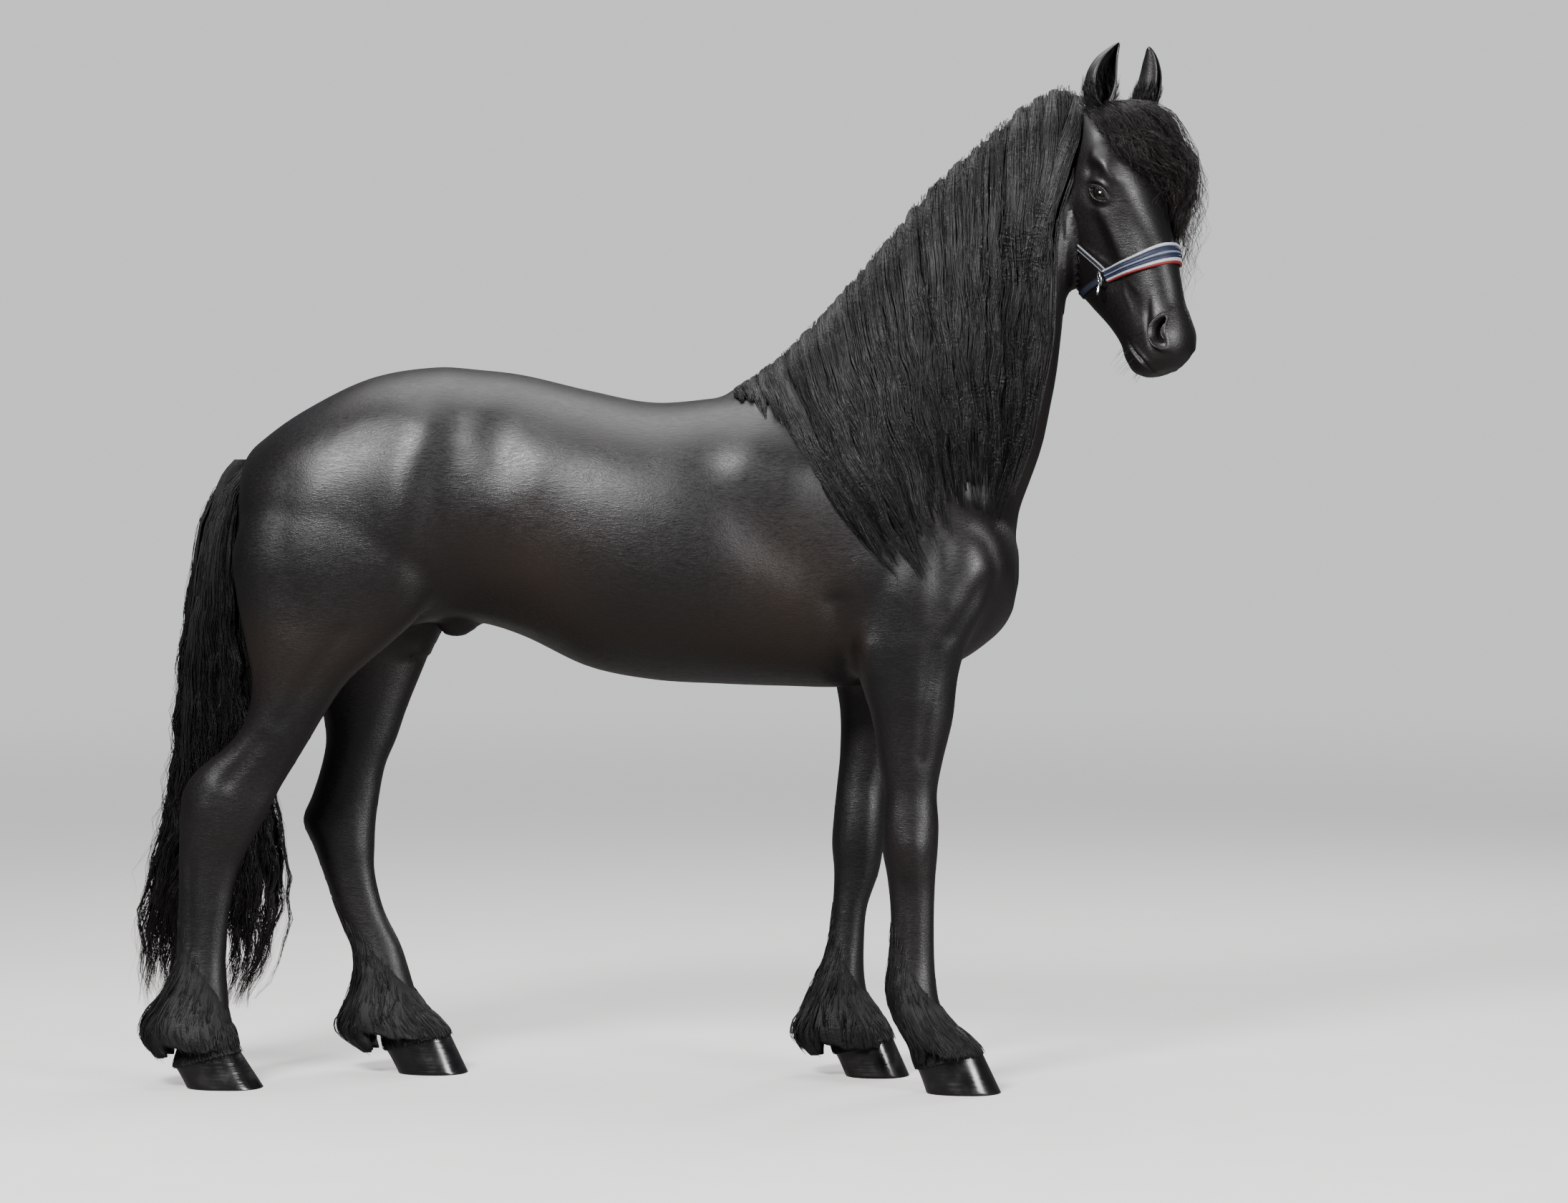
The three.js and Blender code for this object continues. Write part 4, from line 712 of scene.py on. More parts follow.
normals = normalsOf(skinMesh)
inward = skinBuild["coatDepth"] * (skinPoints[:, 0] < 640)
skinPoints = skinPoints + normals * (formRise(skinPoints, normals) - inward)[:, None]
setPoints(skinMesh, toRow(skinPoints))
stage("skin shaped")


# Finishes

# Node group with values in (label, value) and values out (label)
def newGroup(name, inputs, outputs):
    group = bpy.data.node_groups.new(name, "ShaderNodeTree")
    for label, value in inputs:
        socket = group.interface.new_socket(name=label, in_out="INPUT", socket_type="NodeSocketFloat")
        socket.default_value = value
    for label in outputs:
        group.interface.new_socket(name=label, in_out="OUTPUT", socket_type="NodeSocketFloat")
    return group, group.nodes.new("NodeGroupInput"), group.nodes.new("NodeGroupOutput")


# A node with its settings, the values of its sockets by name or number after "in_", and links into it
def addNode(tree, kind, links=None, **settings):
    node = tree.nodes.new(kind)
    for key, value in settings.items():
        if key.startswith("in_"):
            label = key[3:].replace("_", " ")
            node.inputs[int(label) if label.isdigit() else label].default_value = value
        else:
            setattr(node, key, value)
    for socket, source in (links or {}).items():
        tree.links.new(source, node.inputs[socket])
    return node


# A value carried from one range to another, and held at the ends of the range
def rangeOf(tree, value, fromLow, fromHigh, toLow, toHigh):
    node = addNode(tree, "ShaderNodeMapRange", {0: value})
    for i, number in enumerate((fromLow, fromHigh, toLow, toHigh)):
        node.inputs[i + 1].default_value = number
    return node.outputs[0]


# Sum or product of two sockets, or of a socket and a number
def mathOf(tree, operation, first, second, clamp=False):
    node = addNode(tree, "ShaderNodeMath", {0: first}, operation=operation, use_clamp=clamp)
    if isinstance(second, float):
        node.inputs[1].default_value = second
    else:
        tree.links.new(second, node.inputs[1])
    return node.outputs[0]


# A point's place in its object's frame
def objectPlace(tree):
    return addNode(tree, "ShaderNodeTexCoord").outputs["Object"]


# A place stretched by a scale after a turn about Y in degrees
def mapped(tree, place, scale, turn=0.0):
    turns = (0, math.radians(turn), 0)
    return addNode(tree, "ShaderNodeMapping", {0: place}, in_Rotation=turns, in_Scale=scale).outputs[0]


# Noise at a place, from 0 to 1
def noiseAt(tree, place, scale, detail, roughness=0.5):
    return addNode(tree, "ShaderNodeTexNoise", {0: place}, in_Scale=scale, in_Detail=detail,
                   in_Roughness=roughness).outputs[0]


# Hair lines: long streaks along V of the hair's own map, finer across it, and crimps as strong as asked
def hairLinesGroup():
    group, start, end = newGroup("hairLines", [("Crimp", 0.0)], ["Height", "Tone"])
    uv = addNode(group, "ShaderNodeUVMap", uv_map="strand").outputs[0]
    lines = noiseAt(group, mapped(group, uv, (1500, 9, 1)), 1.0, 3.0, 0.6)
    clumps = noiseAt(group, mapped(group, uv, (340, 5, 1)), 1.0, 2.0)
    both = mathOf(group, "ADD", lines, mathOf(group, "MULTIPLY", clumps, 1.4))
    # crimps: level waves 14 mm apart, much bent by noise and stronger in some places than in others
    place = objectPlace(group)
    crimps = addNode(group, "ShaderNodeTexWave", {0: place}, bands_direction="Z", in_Scale=23.0,
                     in_Distortion=16.0, in_Detail=3.0, in_Detail_Scale=1.6)
    patch = rangeOf(group, noiseAt(group, place, 9.0, 2.0), 0.35, 0.65, 0.2, 1)
    wavy = mathOf(group, "MULTIPLY", crimps.outputs[1], mathOf(group, "MULTIPLY", patch, start.outputs[0]))
    group.links.new(mathOf(group, "ADD", both, wavy), end.inputs[0])
    group.links.new(noiseAt(group, mapped(group, uv, (40, 3, 1)), 1.0, 1.0), end.inputs[1])
    return group


# Short coat: fine streaks and broader clumps that slant back and down, with slow patches of tone
def shortCoatGroup():
    group, start, end = newGroup("shortCoat", [("Clumps", 1.0)], ["Height", "Tone"])
    place = objectPlace(group)
    wander = addNode(group, "ShaderNodeTexNoise", {0: place}, in_Scale=7.0, in_Detail=2.0)
    bent = addNode(group, "ShaderNodeVectorMath", {0: wander.outputs["Color"]}, operation="SCALE", in_3=0.05)
    moved = addNode(group, "ShaderNodeVectorMath", {0: place, 1: bent.outputs[0]}, operation="ADD").outputs[0]
    fur = noiseAt(group, mapped(group, moved, (90, 700, 700), -38), 1.0, 2.0)
    clumps = noiseAt(group, mapped(group, moved, (38, 230, 230), -32), 1.0, 3.0, 0.6)
    heavier = mathOf(group, "MULTIPLY", clumps, start.outputs[0])
    group.links.new(mathOf(group, "ADD", fur, heavier), end.inputs[0])
    group.links.new(noiseAt(group, place, 3.2, 4.0), end.inputs[1])
    return group


hairLines = hairLinesGroup()
shortCoat = shortCoatGroup()


# Material with constants on its Principled sockets, named with _ for a space
def newMaterial(name, **sockets):
    material = bpy.data.materials.new(name)
    material.use_nodes = True
    shader = material.node_tree.nodes["Principled BSDF"]
    for label, value in sockets.items():
        shader.inputs[label.replace("_", " ")].default_value = value
    return material, material.node_tree, shader


# Relief: a height of 0 to 1 stands up by its distance, times strength
def addBump(tree, shader, height, strength, distance):
    bump = addNode(tree, "ShaderNodeBump", {"Height": height}, in_Strength=strength, in_Distance=distance)
    tree.links.new(bump.outputs[0], shader.inputs["Normal"])


# Colour: low + (high - low) * mask
def mixColour(tree, mask, low, high):
    mix = addNode(tree, "ShaderNodeMix", {0: mask}, data_type="RGBA", in_6=(*low, 1), in_7=(*high, 1))
    return mix.outputs[2]


# Hair: its lines tint, dull and raise it; it is duller at the root and lighter at the tip
def hairMaterial(name, dark, light, roughness, bump, crimp):
    material, tree, shader = newMaterial(name, Roughness=roughness, Specular_IOR_Level=0.4)
    lines = addNode(tree, "ShaderNodeGroup", node_tree=hairLines, in_Crimp=crimp).outputs
    fall = addNode(tree, "ShaderNodeAttribute", attribute_name="fall").outputs["Fac"]
    tip = rangeOf(tree, fall, 0.55, 1, 0, 0.8)
    mask = mathOf(tree, "ADD", rangeOf(tree, lines[1], 0.35, 0.7, 0, 1), tip, True)
    tree.links.new(mixColour(tree, mask, dark, light), shader.inputs["Base Color"])
    rough = rangeOf(tree, lines[0], 0.6, 1.6 + crimp, roughness + 0.16, roughness - 0.08)
    duller = mathOf(tree, "ADD", rough, rangeOf(tree, fall, 0.02, 0.2, 0.3, 0), True)
    tree.links.new(duller, shader.inputs["Roughness"])
    addBump(tree, shader, lines[0], 0.85, bump)
    return material


longHair = hairMaterial("longHair", (0.001, 0.001, 0.0014), (0.0044, 0.0039, 0.004), 0.36, 0.0013, 0.8)
frizzyHair = hairMaterial("frizzyHair", (0.0011, 0.0011, 0.0014), (0.0105, 0.0066, 0.005), 0.4, 0.0015, 1.0)
tailHair = hairMaterial("tailHair", (0.0012, 0.0012, 0.0015), (0.0075, 0.0062, 0.0056), 0.36, 0.0012, 0.25)
featherHair = hairMaterial("featherHair", (0.001, 0.001, 0.0012), (0.0032, 0.0027, 0.0026), 0.5, 0.001, 0.3)


# Coat: black, brown where it is bleached, with the short hair's streaks in its roughness and relief
def coatMaterial():
    material, tree, shader = newMaterial("coat", Specular_IOR_Level=0.46)
    fur = addNode(tree, "ShaderNodeGroup", node_tree=shortCoat, in_Clumps=1.0).outputs
    brown = addNode(tree, "ShaderNodeAttribute", attribute_name="brown").outputs["Fac"]
    mask = mathOf(tree, "ADD", brown, rangeOf(tree, fur[1], 0.3, 0.75, 0, 0.35), True)
    colour = mixColour(tree, mask, (0.0018, 0.0017, 0.0021), (0.012, 0.0068, 0.0045))
    tree.links.new(colour, shader.inputs["Base Color"])
    tree.links.new(rangeOf(tree, fur[0], 0.75, 1.25, 0.5, 0.33), shader.inputs["Roughness"])
    addBump(tree, shader, fur[0], 0.6, 0.0007)
    return material


# Smooth things: two tones and a faint relief from one noise
def plainMaterial(name, low, high, roughness, scale, bump, **sockets):
    material, tree, shader = newMaterial(name, Roughness=roughness, **sockets)
    noise = noiseAt(tree, objectPlace(tree), scale, 4.0)
    tree.links.new(mixColour(tree, noise, low, high), shader.inputs["Base Color"])
    addBump(tree, shader, noise, 0.4, bump)
    return material


# Hoof horn: black and wet, with level growth rings as fine swellings
def hornMaterial():
    material, tree, shader = newMaterial("hoofHorn", Roughness=0.26, Coat_Weight=0.45, Coat_Roughness=0.2)
    place = objectPlace(tree)
    stain = noiseAt(tree, place, 22.0, 5.0)
    dirt = rangeOf(tree, stain, 0.55, 0.8, 0, 0.7)
    colour = mixColour(tree, dirt, (0.003, 0.0027, 0.0028), (0.018, 0.014, 0.011))
    tree.links.new(colour, shader.inputs["Base Color"])
    tree.links.new(rangeOf(tree, stain, 0.35, 0.75, 0.18, 0.48), shader.inputs["Roughness"])
    addBump(tree, shader, noiseAt(tree, mapped(tree, place, (5, 5, 150)), 1.0, 3.0), 0.6, 0.0016)
    return material


coat = coatMaterial()
horn = hornMaterial()
eyeGloss = plainMaterial("eyeGloss", (0.0015, 0.0012, 0.001), (0.006, 0.0035, 0.0024), 0.06, 60, 0.0001,
                         Coat_Weight=0.6)
steel = plainMaterial("steel", (0.55, 0.56, 0.58), (0.75, 0.76, 0.78), 0.22, 90, 0.0002, Metallic=1.0)

# Bleached coat at the flank, the front of the neck and behind the shoulder: strength, x, reach, z, reach.
# Belly: its strength, height, reach and how far forward it goes
bleached = [(0.75, -560, 150, 1180, 130), (0.5, 520, 90, 1560, 190), (0.75, 30, 120, 1170, 130)]
belly = {"brown": 0.5, "z": 1000, "reach": 90, "behind": 200}


# Skin piece: the coat, brown where the sum of the bleached patches says so
def makeSkin():
    piece = bpy.data.objects.new("skin", skinMesh)
    bpy.context.scene.collection.objects.link(piece)
    skinMesh.materials.append(coat)
    skinMesh.shade_smooth()
    x, _, z = skinPoints.T
    brown = belly["brown"] * bell(z - belly["z"], belly["reach"]) * (x < belly["behind"])
    for much, middleX, reachX, middleZ, reachZ in bleached:
        brown += much * bell(x - middleX, reachX) * bell(z - middleZ, reachZ)
    addValue(skinMesh, "brown", np.clip(brown, 0, 1))
    legs = [f"{ends}leg_{hand}_{part}" for ends in ("fore", "hind") for hand in ("left", "right")
            for part in ("upper", "lower")]
    carry(piece, "coat", "torso", "neck", "head", *legs)


makeSkin()
stage("finishes made")


# Hair: each piece is many strands, each a strip with a ridge along its back
strip = {
    # share of its length, share of its breadth, share of its thickness
    "shape": [(0, 0.55, 0.9), (0.25, 0.95, 1), (0.55, 1, 0.85), (0.82, 0.62, 0.5), (1, 0.04, 0.06)],
    "patch": 0.003,     # size of a strand's patch on its OFBake map
}


# Directions out from the body and across, square to each path
def pathFrame(paths, facing):
    along = unit(np.gradient(paths, axis=1))
    facing = unit(facing - (facing * along).sum(2, keepdims=True) * along)
    return facing, np.cross(along, facing)


# What all hair has: its fall from 0 at the root to 1 at the tip, its two maps and its nodes
def finishHair(piece, fall, bake, strand, nodes):
    addValue(piece.data, "fall", fall)
    addMap(piece.data, "OFBake", bake)
    addMap(piece.data, "strand", strand)
    carry(piece, "long_hair", *nodes)
    print(piece.name, len(piece.data.polygons), "faces")


# Strips of three points to a ring: path + across * (-w/2, 0, w/2) + facing * (0, t, 0), as closed prisms
def makeLocks(name, paths, facing, wide, thick, roots, material, nodes=()):
    count, rings = paths.shape[:2]
    facing, across = pathFrame(paths, facing)
    u = np.linspace(0, 1, rings)
    w, t = readKeys(strip["shape"], u).T
    w = (np.broadcast_to(wide, count)[:, None] * w)[..., None]
    t = (thick * t)[None, :, None]
    points = np.stack([paths - across * w / 2, paths + facing * t, paths + across * w / 2], axis=2)
    lock = np.arange(count)[:, None, None] * rings * 3
    ring = lock + np.arange(rings - 1)[None, :, None] * 3
    k = np.arange(3)[None, None, :]
    k2 = (k + 1) % 3
    quads = np.stack([ring + k, ring + k2, ring + 3 + k2, ring + 3 + k], axis=-1)
    last = lock[:, 0] + (rings - 1) * 3
    tris = np.concatenate([lock[:, 0] + np.array([[2, 1, 0]]), last + np.array([[0, 1, 2]])])
    piece = makePiece(name, points.reshape(-1, 3), [quads.reshape(-1, 4), tris], [material])
    side = np.array([0, 0.5, 1])
    u = u[None, :, None]
    patch = strip["patch"]
    bake = together(roots[:, 0, None, None] + patch * side, roots[:, 1, None, None] + patch * u)
    long = np.linalg.norm(np.diff(paths, axis=1), axis=2).sum(1)[:, None, None]
    start = rng.uniform(0, 40, count)[:, None, None]
    strand = together(start + (side - 0.5) * w / 1000, start + u * long / 1000)
    finishHair(piece, np.broadcast_to(u, (count, rings, 3)), bake, strand, nodes)


# Strands of locks: each follows its lock's path at a place across it, a from -1 to 1, and b from 0 to 1
# under its back. Half breadth = breadth / 2 * (0.4 + 0.6 ease) * (1 - close * ease), narrow at the root
# and at the tip. Lift = breadth * bulge * (1 - a^2) - 2 b. All strands of a lock share its slow waves,
# and each has a little stray of its own. Early above 1 puts more rings near the root, and a strand may
# end at the share endLow of its lock
def strandsOf(paths, facing, roots, breadth, each, rings, bulge, wave, stray, endLow, close, early=1.0,
              pitches=(90, 140)):
    count, fine = paths.shape[:2]
    parent = np.repeat(np.arange(count), each)
    n = len(parent)
    long = np.linalg.norm(np.diff(paths, axis=1), axis=2).sum(1)[parent, None]
    facing, across = pathFrame(paths, facing)
    s = np.linspace(0, 1, rings)[None] ** early * np.minimum(rng.uniform(endLow, 1.12, (n, 1)), 1)
    k = np.minimum((s * (fine - 1)).astype(int), fine - 2)
    f = (s * (fine - 1) - k)[..., None]
    pick = lambda field: field[parent[:, None], k] * (1 - f) + field[parent[:, None], k + 1] * f
    a, b = rng.uniform(-1, 1, (n, 1)), rng.uniform(0, 1, (n, 1))
    half = breadth[parent, None] / 2 * (0.4 + 0.6 * ease(0, 0.2, s)) * (1 - close * ease(0.5, 1, s))
    grow = ease(0.06, 0.6, s)
    phase = rng.uniform(0, 6.3, (2, count, 1))[:, parent] + rng.normal(0, 0.3, (2, n, 1))
    own = rng.uniform(0, 6.3, (2, n, 1))
    pitch = rng.uniform(*pitches, (count, 1))[parent] / 6.28
    ownPitch = rng.uniform(*pitches, (n, 1)) / 6.28
    slow = [wave * np.sin(s * long / pitch + phase[i]) for i in (0, 1)]
    quick = [stray * np.sin(s * long / ownPitch + own[i]) for i in (0, 1)]
    aside = a * half + grow * (slow[0] + quick[0])
    lift = half * 2 * bulge * (1 - a**2) * (0.25 + 0.75 * ease(0.04, 0.3, s)) - 2 * b
    lift = lift + grow * (0.6 * slow[1] + quick[1])
    spread = pick(facing) + pick(across) * a[..., None] * 3.2 * bulge
    points = pick(paths) + pick(across) * aside[..., None] + pick(facing) * lift[..., None]
    return points, spread, roots[parent] + np.concatenate([a, b], axis=1) * 0.004


# A layer of locks: strands over the paths of its flow, then a strip for each strand
def combLocks(name, flow, breadth, each, rings, wide, thick, material, nodes=(), **bend):
    paths, facing, roots = strandsOf(*flow, breadth, each, rings, **bend)
    makeLocks(name, paths, facing, rng.uniform(*wide, len(paths)), thick, roots, material, nodes)


# Sheet: two grids of points (columns, rows) that lie over each other, closed round their edges
def makeSheet(name, outer, inner, roots, material, wrap=False, nodes=()):
    columns, rows = outer.shape[:2]
    total = columns * rows
    i = np.arange(columns if wrap else columns - 1)[:, None]
    j = np.arange(rows - 1)[None]
    here, beside = i * rows, (i + 1) % columns * rows
    top = np.stack([here + j, here + j + 1, beside + j + 1, beside + j], axis=-1).reshape(-1, 4)
    edges = [(beside[:, 0], here[:, 0]), (here[:, 0] + rows - 1, beside[:, 0] + rows - 1)]
    if not wrap:
        far = (columns - 1) * rows
        edges += [(j[0], j[0] + 1), (far + j[0] + 1, far + j[0])]
    walls = [np.stack([b, a, a + total, b + total], axis=-1) for a, b in edges]
    piece = makePiece(name, np.concatenate([outer.reshape(-1, 3), inner.reshape(-1, 3)]),
                      [np.concatenate([top, top[:, ::-1] + total, *walls])], [material])
    fall = np.broadcast_to(np.linspace(0, 1, rows), (2, columns, rows))
    steps = np.linalg.norm(np.diff(outer, axis=1, prepend=outer[:, :1]), axis=2)
    wide = np.linalg.norm(np.diff(outer, axis=0, prepend=outer[:1]), axis=2).mean(1)
    strand = together(np.cumsum(wide)[:, None], np.cumsum(steps, axis=1)) / 1000
    finishHair(piece, fall, np.stack([roots, roots]), np.stack([strand, strand]), nodes)


# Outermost place of the skin to the right over x and z: the least y in each cell, with its gaps filled
cover = {"cell": 12.0, "lowX": -400.0, "lowZ": 900.0, "count": (110, 125),
         "fills": 60, "fillRise": 6, "smooths": 3}


# Least y in each cell over x and z, where an empty cell takes its neighbours' least + fillRise
def coverMap(points):
    i = ((points[:, 0] - cover["lowX"]) / cover["cell"]).astype(int)
    k = ((points[:, 2] - cover["lowZ"]) / cover["cell"]).astype(int)
    inside = (i >= 0) & (k >= 0) & (i < cover["count"][0]) & (k < cover["count"][1])
    grid = np.full(cover["count"], np.inf)
    np.minimum.at(grid, (i[inside], k[inside]), points[inside, 1])
    for _ in range(cover["fills"]):
        wide = np.pad(grid, 1, constant_values=np.inf)
        near = np.minimum.reduce([wide[:-2, 1:-1], wide[2:, 1:-1], wide[1:-1, :-2], wide[1:-1, 2:]])
        grid = np.where(np.isinf(grid), near + cover["fillRise"], grid)
    for _ in range(cover["smooths"]):
        wide = np.pad(grid, 1, mode="edge")
        grid = (grid * 2 + wide[:-2, 1:-1] + wide[2:, 1:-1] + wide[1:-1, :-2] + wide[1:-1, 2:]) / 6
    return grid


coverGrid = coverMap(coverPoints)


# The cover between its cells, from the four nearest
def coverAt(x, z):
    i = np.clip((x - cover["lowX"]) / cover["cell"] - 0.5, 0, cover["count"][0] - 1.001)
    k = np.clip((z - cover["lowZ"]) / cover["cell"] - 0.5, 0, cover["count"][1] - 1.001)
    i0, k0 = i.astype(int), k.astype(int)
    a, b = i - i0, k - k0
    low = coverGrid[i0, k0] * (1 - a) + coverGrid[i0 + 1, k0] * a
    high = coverGrid[i0, k0 + 1] * (1 - a) + coverGrid[i0 + 1, k0 + 1] * a
    return low * (1 - b) + high * b


mane = {
    # x of a root and where its hair would pass at the height "foot"
    "flow": [(-120, 60), (-20, 225), (139, 335), (280, 402), (395, 448), (515, 490), (600, 520), (680, 548)],
    # x of a tip and its height
    "tips": [(-130, 1588), (-60, 1550), (-10, 1508), (74, 1440), (127, 1341), (163, 1256), (208, 1190),
             (280, 1174), (320, 1200), (350, 1240), (390, 1292), (435, 1312), (480, 1314), (525, 1300),
             (560, 1400), (600, 1600), (650, 1820)],
    # its front border behind the cheek: z, x, and how softly it holds the hair back
    "front": [(1150, 390), (1250, 462), (1330, 500), (1420, 530), (1500, 552), (1660, 578), (1800, 586),
              (1900, 582), (1980, 592), (2050, 616), (2120, 646), (2220, 684), (2300, 700)], "hold": 22,
    # height of its top over the crest: x, mm
    "rise": [(-120, -5), (-60, 3), (0, 16), (140, 27), (240, 35), (450, 46), (620, 55), (680, 50)],
    "from": -118.0, "to": 680.0, "foot": 1220.0, "rings": 90,
    # sheet under the locks: columns, rows, distance, thickness
    "base": (110, 44, 3.0, 7),
    # locks, strands in each, rings, breadth, width, thick, away low and high, bulge, wave, stray, reach low
    "layers": {"maneUnder": (30, 27, 16, (50, 72), (3.5, 7), 1.8, 3, 8, 0.12, 3, 1.0, 0.88),
               "maneBody": (26, 58, 19, (44, 60), (2.0, 4.4), 1.3, 6, 20, 0.36, 5.5, 1.1, 0.8),
               "maneTop": (17, 74, 20, (36, 52), (1.5, 3.2), 1.0, 16, 34, 0.42, 6.5, 1.3, 0.7),
               "maneStray": (170, 3, 18, (20, 60), (1.0, 1.8), 0.8, 8, 38, 0.3, 7, 4.0, 0.5)},
    "bend": {"endLow": 0.72, "close": 0.7, "early": 1.4, "pitches": (170, 260)},
}


# Behind the front border: the soft least of x and the border's x, which wanders by ragged
def heldBack(x, z, ragged):
    over = (readKeys(mane["front"], z)[..., 0] + ragged - x) / mane["hold"]
    return x + mane["hold"] * (over - np.logaddexp(0, over))


# Each lock rises over the crest, then lies on the cover of the neck at its own distance and never comes
# back in. x = root + (flow - root) * (fall / whole fall)^1.3, held behind the front border. Its tip lies
# on the line of tips, found in a few rounds, and at least a little below the crest. It faces up at the
# crest and out below it
def maneFlow(rootX, part, away, reach, rings):
    crest = [(row[1], row[2], row[6]) for row in body["neck"]]
    crestZ, crestY = readKeys(crest, rootX).T
    slope = (readKeys(crest, rootX + 20) - readKeys(crest, rootX - 20))[:, :1] / 40
    flow = readKeys(mane["flow"], rootX)[:, 0] - rootX
    whole = crestZ - mane["foot"]
    ragged = 14 * part * ease(400, 520, rootX)
    shortest = 16 + 54 * ease(mane["from"], mane["from"] + 90, rootX)
    tipZ = np.full(len(rootX), 1350.0)
    for _ in range(24):
        tipX = heldBack(rootX + flow * (np.clip(crestZ - tipZ, 0, None) / whole) ** 1.3, tipZ, ragged)
        tipZ = 0.6 * tipZ + 0.4 * np.minimum(readKeys(mane["tips"], tipX)[:, 0], crestZ - shortest)
    tipZ = crestZ + (tipZ - crestZ) * reach
    u = np.linspace(0, 1, rings)[None]
    top = readKeys(mane["rise"], rootX) * (0.72 + 0.2 * np.clip(away / 16, 0, 1.25))[:, None]
    z = crestZ[:, None] - 8 - (crestZ - 8 - tipZ)[:, None] * u**1.1
    z = z + (top + 8) * ease(-0.004, 0.045, u) * (1 - ease(0.03, 0.34, u))
    x = rootX[:, None] + flow[:, None] * (np.clip(crestZ[:, None] - z, 0, None) / whole[:, None]) ** 1.3
    x = x + (heldBack(x, z, ragged[:, None]) - x) * ease(0.02, 0.2, u)
    side = np.minimum.accumulate(coverAt(x, z) - away[:, None], axis=1)
    over = ease(0.0, 0.13, u)
    y = (crestY + part * 20)[:, None] * (1 - over) + side * over
    smoothAlong(y, 6)
    facing = together(-slope * (1.1 - over), -over, 1.1 - over)
    along = (rootX - mane["from"]) / (mane["to"] - mane["from"])
    return np.stack([x, y, z], axis=-1), facing, together(0.1 + 0.8 * along, 0.5 + 0.05 * part)


# An even sheet under the locks keeps the neck covered
def makeManeBase():
    count, rows, away, thick = mane["base"]
    u = np.linspace(0, 1, rows)[None]
    reach = 0.93 - 0.05 * np.sin(np.arange(count) * 1.9) ** 2 + rng.uniform(-0.03, 0.02, count)
    rootX = np.linspace(mane["from"] + 80, mane["to"], count)
    outer, _, roots = maneFlow(rootX, np.ones(count), np.full(count, away), reach, rows)
    inner = outer.copy()
    inner[..., 1] += thick
    inner[..., 2] -= 9 * (1 - ease(0, 0.3, u[0]))
    makeSheet("maneBase", outer, inner, together(roots[:, :1], 0.2 + 0.4 * u), longHair)


# The mane's start on the withers is young hair, nearer to the crest and in narrower locks
def combMane(name, count, each, rings, breadth, wide, thick, awayLow, awayHigh, bulge, wave, stray, least):
    rootX = np.linspace(mane["from"] + 18, mane["to"] - 8, count) + rng.normal(0, 7, count)
    part = rng.uniform(-1, 1, count)
    young = ease(mane["from"] - 20, mane["from"] + 230, rootX)
    away = rng.uniform(awayLow, awayHigh, count) * (0.04 + 0.96 * young)
    flow = maneFlow(rootX, part, away, rng.uniform(least, 1.06, count), mane["rings"])
    breadths = rng.uniform(*breadth, count) * (0.35 + 0.65 * young)
    combLocks(name, flow, breadths, each, rings, wide, thick, longHair,
              bulge=bulge, wave=wave, stray=stray, **mane["bend"])


makeManeBase()
for name, values in mane["layers"].items():
    combMane(name, *values)
stage("mane combed")


tail = {
    # z, front, back, y, wide
    "keys": [(1450, -1232, -1262, 0, 22), (1400, -1240, -1312, 0, 38), (1300, -1256, -1350, 0, 50),
             (1150, -1262, -1374, 0, 56), (950, -1240, -1402, 2, 60), (750, -1200, -1420, 6, 62),
             (550, -1160, -1462, 10, 62), (400, -1160, -1498, 10, 58), (270, -1180, -1502, 10, 46),
             (185, -1232, -1494, 10, 26)],
    # dock: share of its length, x, z
    "dock": [(0, -1188, 1448), (0.2, -1226, 1420), (0.4, -1258, 1360), (0.6, -1277, 1290), (0.8, -1288, 1210),
             (1, -1290, 1130)], "dockRadius": 19.0, "highestRoot": 1432, "rings": 70,
    # core under the locks: columns, rows, top, foot, how ragged it is, shares of the sections out and in
    "core": (44, 50, 1436, 560, 70, (1, 0.7)), "coreSize": 0.66,
    # locks, strands in each, rings, breadth, strand width, thick, share low and high, wave, lowest tip
    "layers": {"tailUnder": (30, 14, 16, (34, 50), (3.5, 7), 1.8, 0.35, 0.72, 4, 300),
               "tailBody": (34, 28, 20, (26, 42), (2.0, 4.2), 1.3, 0.6, 0.92, 6, 170),
               "tailTop": (34, 28, 21, (18, 34), (1.4, 3.0), 1.0, 0.82, 1.0, 7, 160),
               "tailStray": (70, 3, 21, (10, 26), (1.0, 1.7), 0.8, 0.7, 1.06, 9, 160)},
    "bend": {"bulge": 0.24, "stray": 2.8, "endLow": 0.8, "close": 0.5, "early": 0.9, "pitches": (110, 170)},
}


# Place on an OFBake map of a turn round a piece and a height on it
def bakePlace(turn, high):
    return together(0.05 + 0.9 * turn / (2 * np.pi), high)


# Turns spread evenly round a piece in a random order
def shuffledTurns(count):
    return rng.permutation((np.arange(count) + rng.uniform(0, 1, count)) / count) * 2 * np.pi


